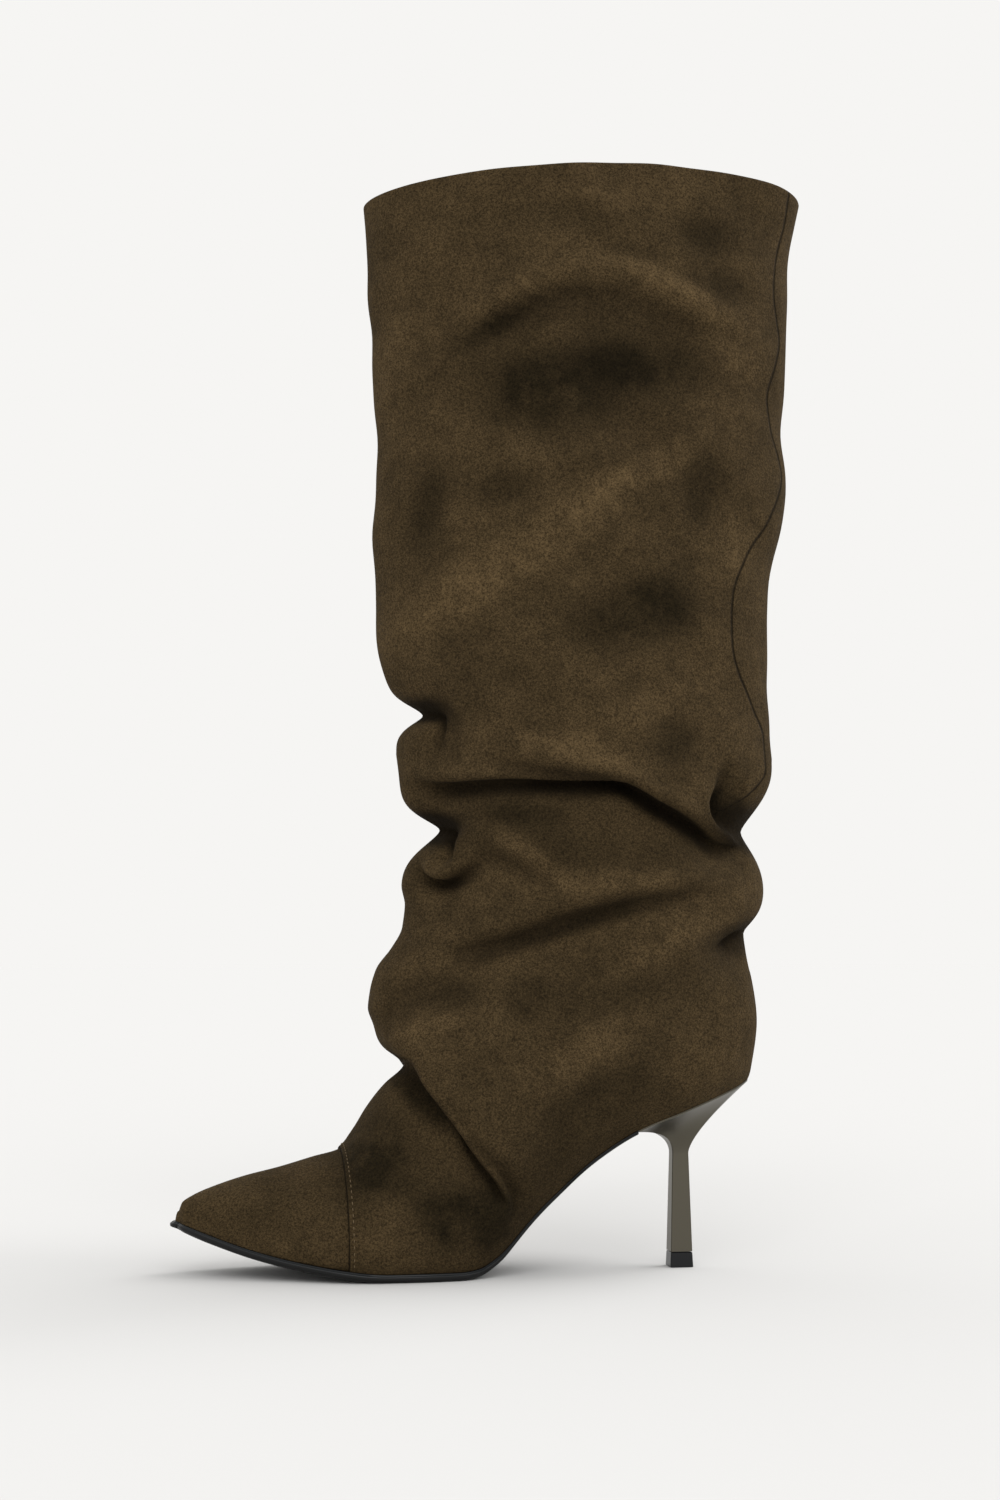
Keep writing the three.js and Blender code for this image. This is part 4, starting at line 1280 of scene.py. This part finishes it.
def seat_loop(last, drop, side_steps, corner_steps):
    """The heel's top edge: the feather line behind the breast, divided like the square loops."""
    sizes = last.sizes
    first_ring, ring_margin = 12, 0.02  # in rings of the last
    stations = 90
    ahead_of_breast = 20 * MM
    rings = np.linspace(first_ring, last.last_ring_over_sole() - ring_margin, stations)
    pairs = last.sole_edges(rings)
    pairs = pairs[pairs[:, :, 0].min(axis=1) > last.breast - ahead_of_breast]
    edge = [[last.breast, np.interp(last.breast, pairs[:, side, 0], pairs[:, side, 1])] for side in (0, 1)]
    behind = pairs[pairs[:, :, 0].min(axis=1) > last.breast + MM]
    rim = np.concatenate([[edge[0]], behind[:, 0], behind[::-1, 1], [edge[1]]])
    travelled = way_along(rim)
    shares = travelled / travelled[-1]
    places = []
    for row, (start, end) in enumerate(SEAT_SIDE_ROWS):
        places += list(np.linspace(start, end, side_steps + 1))
        if row + 1 < len(SEAT_SIDE_ROWS):
            places += list(np.linspace(end, SEAT_SIDE_ROWS[row + 1][0], corner_steps + 1)[1:-1])
    on_rim = np.stack([np.interp(places, shares, rim[:, axis]) for axis in (0, 1)], axis=-1)
    inner, outer = on_rim[-1], on_rim[0]
    inset = sizes.heel_corner / np.linalg.norm(outer - inner)
    corner = np.linspace(0, inset, corner_steps + 1)[1:-1]
    front = np.concatenate([corner, np.linspace(inset, 1 - inset, side_steps + 1), 1 - corner[::-1]])
    across = inner + (outer - inner) * front[:, None]
    loop = np.concatenate([on_rim, across])
    height = last.feather(np.minimum(loop[:, 0], last.heel_back)) - drop
    return np.column_stack([loop, height])


class BootOperator:
    """What the boot's operators share."""

    bl_options = {"REGISTER", "UNDO"}

    def last(self, context):
        return Last(context.scene.boot_sizes)


class BOOT_OT_upper(BootOperator, bpy.types.Operator):
    """Builds the leather: toe piece, leg and folds in one skin, turned in at the collar"""

    bl_idname = "boot.upper"
    bl_label = "Upper"

    def execute(self, context):
        last, sizes = self.last(context), context.scene.boot_sizes
        fineness = context.scene.boot_fineness
        angles = side_angles(fineness.inner_columns, fineness.outer_columns)
        rings = ring_marks(SKIN_RINGS)
        skin = last.skin(rings[:, None], angles[None, :])
        normals = grid_normals(skin)
        collar, outward = skin[-1], normals[-1] * (1, 1, 0)
        outward = unit(outward)
        thickness = sizes.wall / 2
        turn = [
            collar + outward * thickness * (np.cos(a) - 1) + np.array([0, 0, thickness * np.sin(a)])
            for a in np.linspace(0, np.pi, fineness.round_steps + 1)[1:]
        ]
        inside = skin - normals * sizes.wall
        depth = skin[-1, :, 2].mean() - skin[:, :, 2].mean(axis=1)
        facing = inside[(depth > MM) & (depth < sizes.collar_turn)][::-1]
        tip, middle = skin[0], skin[0].mean(axis=0)
        dome = []
        for a in np.linspace(np.pi / 2, 0, fineness.round_steps, endpoint=False):
            ahead = np.array([sizes.tip_bulge * np.sin(a), 0, 0])
            dome.append(middle + (tip - middle) * max(np.cos(a), SMALLEST_END) - ahead)
        clear_of_sole = 0.1 * MM
        grid = last.on_sole(np.concatenate([dome, skin, turn, facing]), clear_of_sole)
        piece = add_piece(
            "upper_skin",
            grid,
            grid_faces(len(grid), len(angles)),
            [suede_material(context.scene.boot_suede)],
            replaces=["upper"],
        )
        self.mark_seams(piece, last, grid, len(dome), rings, angles)
        return {"FINISHED"}

    def mark_seams(self, piece, last, grid, dome_rows, rings, angles):
        """Stores each point's distance from both seams, its stroke tone with painted light and shade, and the
        painted shade of its trough.
        """
        far, half_ring = 1.0, 0.5
        plain = last.plain(rings[:, None], angles[None, :])
        line_distance = nearest_on_line(last.back_seam, plain[..., 0], plain[..., 2])[0]
        on_outer = np.sin(angles)[None, :] < 0
        out_share = (plain[..., 1] - last.sway(rings)[:, None]) / last.outer_girth(rings)[:, None]
        behind, ahead = (last.plain(TOE_SEAM_RING + half_ring * way, angles) for way in (1, -1))
        per_ring = np.linalg.norm(behind - ahead, axis=-1)
        nap = last.nap_tone_and_shade(plain[..., 0], plain[..., 2]) * np.where(on_outer, 1, last.inner_stroke_share)
        rows = {
            "back_seam": np.where(on_outer, line_distance, far),
            "toe_seam": (rings[:, None] - TOE_SEAM_RING) * per_ring[None, :],
            "nap_tone_and_shade": nap,
            "fold_shade": last.fold_shade(plain[..., 0], plain[..., 2], out_share),
        }
        for name, values in rows.items():
            filled = np.full(grid.shape[:2], far if name.endswith("seam") else 0.0)
            filled[dome_rows : dome_rows + len(rings)] = values
            attribute = piece.data.attributes.new(name, "FLOAT", "POINT")
            attribute.data.foreach_set("value", filled.ravel().astype(np.float32))


class BOOT_OT_lining(BootOperator, bpy.types.Operator):
    """Builds the lining inside the leather, from the toe to the turned collar"""

    bl_idname = "boot.lining"
    bl_label = "Lining"

    def execute(self, context):
        last, sizes = self.last(context), context.scene.boot_sizes
        columns = context.scene.boot_fineness.lining_columns
        angles = side_angles(columns, columns)
        rings = ring_marks(LINING_RINGS)
        near_collar = smoothstep(rings, *COLLAR_LINING_RINGS)[:, None, None]
        slouched = smoothstep(rings, *SLOUCH_START_RINGS) * (1 - smoothstep(rings, *SLOUCH_END_RINGS))
        slouched = slouched[:, None, None]
        form = last.plain(rings[:, None], angles[None, :]) * (1 - near_collar)
        form = form + last.skin(rings[:, None], angles[None, :]) * near_collar
        slack = sizes.lining_slack * slouched + sizes.lining_ease * (1 - near_collar)
        inside = form - grid_normals(form) * (sizes.wall + sizes.gap + slack)
        grid = last.on_sole(inside, sizes.gap)
        # Lining leather: a warm, matt inside that shows past the collar, a shade lighter than the suede.
        grain = {"grain_size": 1.2 * MM, "grain_depth": 0.2 * MM}
        material = plain_material("Fawn lining leather", "#8a7458", roughness=0.75, **grain)
        add_piece("lining", grid, grid_faces(len(grid), len(angles)), [material], flip=True)
        return {"FINISHED"}


class BOOT_OT_stitching(BootOperator, bpy.types.Operator):
    """Sews the leg's panel down behind the toe seam's edge, as one mesh of stitches"""

    bl_idname = "boot.stitching"
    bl_label = "Stitching"

    def execute(self, context):
        last, sizes = self.last(context), context.scene.boot_sizes
        steps_round = 1400
        past_edge = 0.1  # rings behind the seam, clear of its step
        clear_of_sole = 1.5 * MM
        fine = np.linspace(0, 2 * np.pi, steps_round)
        behind = last.skin(TOE_SEAM_RING + 1, fine) - last.skin(TOE_SEAM_RING + past_edge, fine)
        per_ring = np.linalg.norm(behind, axis=-1) / (1 - past_edge)
        set_back = sizes.stitch_set_back / per_ring
        row = last.skin(TOE_SEAM_RING + set_back, fine)
        ahead = last.skin(TOE_SEAM_RING + set_back + RING_REACH, fine)
        showing = row[:, 2] > last.feather(row[:, 0]) + clear_of_sole
        start = len(fine) // 2
        order = np.roll(np.arange(len(fine)), -start)
        row, ahead, showing = row[order], ahead[order], showing[order]
        row, ahead = row[showing], ahead[showing]
        along = np.gradient(row, axis=0)
        travelled = way_along(row)
        places = np.arange(sizes.stitch_pitch / 2, travelled[-1], sizes.stitch_pitch)
        at = np.searchsorted(travelled, places)
        forward, out = unit(along[at]), unit(np.cross(ahead[at] - row[at], along[at]))
        self.sew(row[at], forward, out, sizes)
        return {"FINISHED"}

    def sew(self, places, forward, out, sizes):
        """One rounded stitch at each place, laid forward along the seam and half sunk into the leather."""
        lengthwise, around, sink = 6, 8, 0.1
        bluntness, thinnest = 6, 0.04  # power that keeps a stitch's ends blunt, and its least girth, squared
        across = np.cross(out, forward)
        radius, half = sizes.stitch_thickness / 2, sizes.stitch_length / 2
        points, faces = [], []
        for place, ahead, up, side in zip(places, forward, out, across):
            first = len(points) * around
            rings = []
            for t in np.linspace(-1, 1, lengthwise + 1):
                girth = radius * np.sqrt(max(1 - t**bluntness, thinnest))
                sag = radius * (1 - sink) * (1 - t * t) - radius * sink
                turns = np.arange(around) * 2 * np.pi / around
                ring = np.outer(np.cos(turns), side) * girth + np.outer(np.sin(turns), up) * girth
                rings.append(place + ahead * half * t + up * sag + ring)
            points += rings
            faces += grid_faces(len(rings), around, first=first)
            faces += [[first + k for k in range(around)]]
            faces += [[first + lengthwise * around + k for k in reversed(range(around))]]
        # Thread: a fine row of paler dashes that shows where the two panels join.
        thread = plain_material("Tan sewing thread", "#5e4d33", roughness=0.8)
        add_piece("toe_seam_stitches", np.array(points), faces, [thread])


class BOOT_OT_outsole(BootOperator, bpy.types.Operator):
    """Builds the thin outsole with its grooved and bevelled edge, paler along the top as a painted sheen"""

    bl_idname = "boot.outsole"
    bl_label = "Outsole"

    def execute(self, context):
        last, sizes = self.last(context), context.scene.boot_sizes
        fineness = context.scene.boot_fineness
        ring_margin = 0.1  # in rings of the last
        rings = np.linspace(0, last.last_ring_over_sole() - ring_margin, fineness.sole_stations)
        pairs = last.sole_edges(rings)
        edges = []
        for _, out in SOLE_EDGE_ROWS:
            row = cut_at(widened(pairs, sizes.sole_lip * out), last.breast - sizes.gap)
            edges.append(rounded_start(row, sizes.tip_bulge + sizes.sole_lip * out, fineness.round_steps))
        count = min(len(row) for row in edges)
        edges = [row[-count:] for row in edges]
        loops = []
        for station in range(count):
            outer, inner = [], []
            for row, (down, _) in zip(edges, SOLE_EDGE_ROWS):
                for side, points in ((0, outer), (1, inner)):
                    x, y = row[station, side]
                    reached = max(x, last.on_foot(1))
                    height = last.feather(reached) * (1 - down) + last.underside(reached) * down
                    points.append((x, y, height))
            loops.append(outer + inner[::-1])
        # Rubber: the darkest, dullest surface, under the boot.
        # Edge: a thin dark line round the sole, glossier than the rubber; its slightly paler colour is a
        # painted highlight for the sheen along its top.
        grain = {"grain_size": 0.9 * MM, "grain_depth": 0.05 * MM}
        rubber = plain_material("Black sole rubber", "#0c0c0c", roughness=0.5, gloss=0.25, **grain)
        edge_sheen = plain_material("Slate edge with painted sheen", "#101315", roughness=0.35, gloss=0.3)
        materials = [rubber, edge_sheen]
        piece = add_loft("outsole_form", loops, materials, ["outsole"], sharp_over=40)
        columns = 2 * len(SOLE_EDGE_ROWS)
        # The top rows of the edge take the paler, glossier material: a painted highlight for the sheen line.
        painted = set(range(SHEEN_EDGE_ROWS)) | set(range(columns - 1 - SHEEN_EDGE_ROWS, columns - 1))
        for face in piece.data.polygons[: (count - 1) * columns]:
            face.material_index = int(face.index % columns in painted)
        return {"FINISHED"}


class BOOT_OT_insole(BootOperator, bpy.types.Operator):
    """Builds the footbed inside the leather"""

    bl_idname = "boot.insole"
    bl_label = "Insole"

    def execute(self, context):
        last, sizes = self.last(context), context.scene.boot_sizes
        fineness = context.scene.boot_fineness
        top = sizes.gap + sizes.insole_thickness
        first_ring, ring_margin = 3, 0.3  # in rings of the last
        underside_inset, edge_round, narrowest = 0.4 * MM, 0.5 * MM, 10 * MM
        last_ring = last.last_ring_over_sole(top) - ring_margin
        rings = np.linspace(first_ring, last_ring, fineness.sole_stations // 2)
        pairs = last.sole_edges(rings, top)
        inset = -(sizes.wall + sizes.insole_gap)
        rows = []
        for extra, over in ((underside_inset, sizes.gap), (0, top - edge_round), (edge_round, top)):
            row = widened(pairs, inset - extra)
            wide = row[np.abs(row[:, 0, 1] - row[:, 1, 1]) > narrowest]
            rows.append((wide, over))
        count = min(len(row) for row, _ in rows)
        loops = []
        for station in range(count):
            outer = [(*row[station, 0], self.height(last, row[station, 0, 0], over)) for row, over in rows]
            inner = [(*row[station, 1], self.height(last, row[station, 1, 0], over)) for row, over in rows]
            loops.append(outer + inner[::-1])
        # Footbed leather: smoother than the lining, with a faint sheen where light reaches in.
        grain = {"grain_size": 1 * MM, "grain_depth": 0.15 * MM}
        leather = plain_material("Fawn footbed leather", "#8f7a5d", roughness=0.6, **grain)
        add_loft("insole_form", loops, [leather], ["insole"], sharp_over=50)
        return {"FINISHED"}

    def height(self, last, x, over):
        return last.feather(min(x, last.heel_back)) + over


class BOOT_OT_heel(BootOperator, bpy.types.Operator):
    """Builds the plated heel: a square stem that flares out to the seat"""

    bl_idname = "boot.heel"
    bl_label = "Heel"

    def execute(self, context):
        last, sizes = self.last(context), context.scene.boot_sizes
        fineness = context.scene.boot_fineness
        steps = (fineness.heel_side_steps, fineness.corner_steps)
        foot = sizes.lift_height + sizes.gap
        loops = []
        for t in np.linspace(0, 1, fineness.stem_steps + 1):
            size = sizes.heel_foot_size + (sizes.neck_size - sizes.heel_foot_size) * t
            loops.append(square_loop(size, sizes.heel_corner, foot + (sizes.neck_height - foot) * t, *steps))
        neck = loops[-1]
        seat = seat_loop(last, sizes.seat_rim, *steps)
        climb = curve_through(FLARE_CLIMB_ROWS)(2 * neck[:, 0] / sizes.neck_size)
        turn = neck.copy()
        turn[:, 2] = sizes.neck_height + (seat[:, 2] - sizes.neck_height) * climb
        for t in np.linspace(0, 1, fineness.flare_steps + 1)[1:]:
            loops.append(neck * (1 - t) ** 2 + turn * 2 * t * (1 - t) + seat * t * t)
        loops.append(seat_loop(last, 0.0, *steps))
        # Electroplated plastic: a dark bronze mirror, slightly softened.
        plate = plain_material("Bronze electroplate", "#5a564c", roughness=0.36, metallic=1.0)
        piece = add_loft("heel_form", loops, [plate], ["heel"], sharp_over=50)
        piece.modifiers.new("Even shading", "WEIGHTED_NORMAL").keep_sharp = True
        return {"FINISHED"}


class BOOT_OT_top_lift(BootOperator, bpy.types.Operator):
    """Builds the black top lift that the heel stands on"""

    bl_idname = "boot.top_lift"
    bl_label = "Top Lift"

    def execute(self, context):
        sizes, fineness = context.scene.boot_sizes, context.scene.boot_fineness
        soft = 0.25 * MM
        recess = 1.1 * MM
        joint_share = 0.9  # how much of the gap under the heel the dark joint fills
        size = sizes.heel_foot_size + sizes.lift_flare
        # Columns: size of the square, height. The last two are the dark joint under the heel.
        rows = [
            (size + sizes.lift_flare - 2 * soft, 0),
            (size + sizes.lift_flare, soft),
            (size - sizes.lift_flare, sizes.lift_height - soft),
            (size - sizes.lift_flare - 2 * soft, sizes.lift_height),
            (sizes.heel_foot_size - 2 * recess, sizes.lift_height),
            (sizes.heel_foot_size - 2 * recess, sizes.lift_height + sizes.gap * joint_share),
        ]
        steps = (fineness.heel_side_steps, fineness.corner_steps)
        loops = [square_loop(side, sizes.heel_corner, height, *steps) for side, height in rows]
        # Hard polyurethane: black, with a clean gloss.
        lift = plain_material("Black lift polyurethane", "#0e0f11", roughness=0.25, coat=0.05, gloss=0.25)
        add_loft("top_lift_form", loops, [lift], ["top_lift"], sharp_over=40)
        return {"FINISHED"}


class BOOT_OT_stage(BootOperator, bpy.types.Operator):
    """Sets the pale paper floor, the soft lights and the camera"""

    bl_idname = "boot.stage"
    bl_label = "Stage"

    def execute(self, context):
        studio = context.scene.boot_studio
        self.add_floor(studio)
        self.add_sky(context)
        self.add_sun("key", studio.key_from, studio.key_strength, studio.softness)
        self.add_sun("fill", studio.fill_from, studio.fill_strength, studio.softness)
        camera = add_object("camera", bpy.data.cameras.new("camera"))
        camera.location = studio.camera_place
        toward = Vector(studio.camera_aim) - camera.location
        camera.rotation_euler = toward.to_track_quat("-Z", "Y").to_euler()
        camera.data.lens = studio.lens
        camera.data.clip_end = studio.floor_size * 2
        context.scene.camera = camera
        context.scene.view_settings.view_transform = "Standard"
        return {"FINISHED"}

    def add_floor(self, studio):
        """A paper floor that reaches the horizon, in the grey that the lights bring up to the sky's tone."""
        sky = np.array(hex_colour(SKY_TONE)[:3])
        suns = ((studio.key_from, studio.key_strength), (studio.fill_from, studio.fill_strength))
        from_suns = sum(strength / np.pi * Vector(place).normalized().z for place, strength in suns)
        half = studio.floor_size / 2
        mesh = bpy.data.meshes.new("paper_floor")
        corners = [(-half, -half, 0), (half, -half, 0), (half, half, 0), (-half, half, 0)]
        mesh.from_pydata(corners, [], [(0, 1, 2, 3)])
        # Matt paper: no gloss, so that the floor keeps one tone out to the horizon.
        paper, _, shader = new_material("Matt paper")
        shader.inputs["Base Color"].default_value = (*(sky / (sky + from_suns)), 1)
        shader.inputs["Roughness"].default_value = 1.0
        shader.inputs["Specular IOR Level"].default_value = 0.0
        mesh.materials.append(paper)
        floor = add_object("paper_floor", mesh)

    def add_sky(self, context):
        world = bpy.data.worlds.new("Soft room")
        world.use_nodes = True
        background = world.node_tree.nodes["Background"]
        background.inputs["Color"].default_value = hex_colour(SKY_TONE)
        background.inputs["Strength"].default_value = 1.0
        context.scene.world = world

    def add_sun(self, name, comes_from, strength, softness):
        sun = bpy.data.lights.new(name, "SUN")
        sun.energy = strength
        sun.angle = softness
        lamp = add_object(name, sun)
        lamp.rotation_euler = Vector(comes_from).to_track_quat("Z", "Y").to_euler()


BUILD_ORDER = (
    BOOT_OT_upper,
    BOOT_OT_lining,
    BOOT_OT_stitching,
    BOOT_OT_outsole,
    BOOT_OT_insole,
    BOOT_OT_heel,
    BOOT_OT_top_lift,
    BOOT_OT_stage,
)
SETTINGS = {
    "boot_sizes": BootSizes,
    "boot_fineness": BootFineness,
    "boot_suede": SuedePattern,
    "boot_studio": StudioSettings,
}


class BOOT_PT_sidebar(bpy.types.Panel):
    """Lists the boot's pieces in the 3D view's sidebar"""

    bl_label = "Tall Slouched Boot"
    bl_space_type = "VIEW_3D"
    bl_region_type = "UI"
    bl_category = "Boot"

    def draw(self, context):
        for operator in BUILD_ORDER:
            self.layout.operator(operator.bl_idname)


CLASSES = (*SETTINGS.values(), *BUILD_ORDER, BOOT_PT_sidebar)


def register():
    for made in CLASSES:
        bpy.utils.register_class(made)
    for name, settings in SETTINGS.items():
        setattr(bpy.types.Scene, name, PointerProperty(type=settings))


def unregister():
    for name in SETTINGS:
        delattr(bpy.types.Scene, name)
    for made in reversed(CLASSES):
        bpy.utils.unregister_class(made)


def main():
    register()
    for operator in BUILD_ORDER:
        group, name = operator.bl_idname.split(".")
        getattr(getattr(bpy.ops, group), name)()


if __name__ == "__main__":
    main()
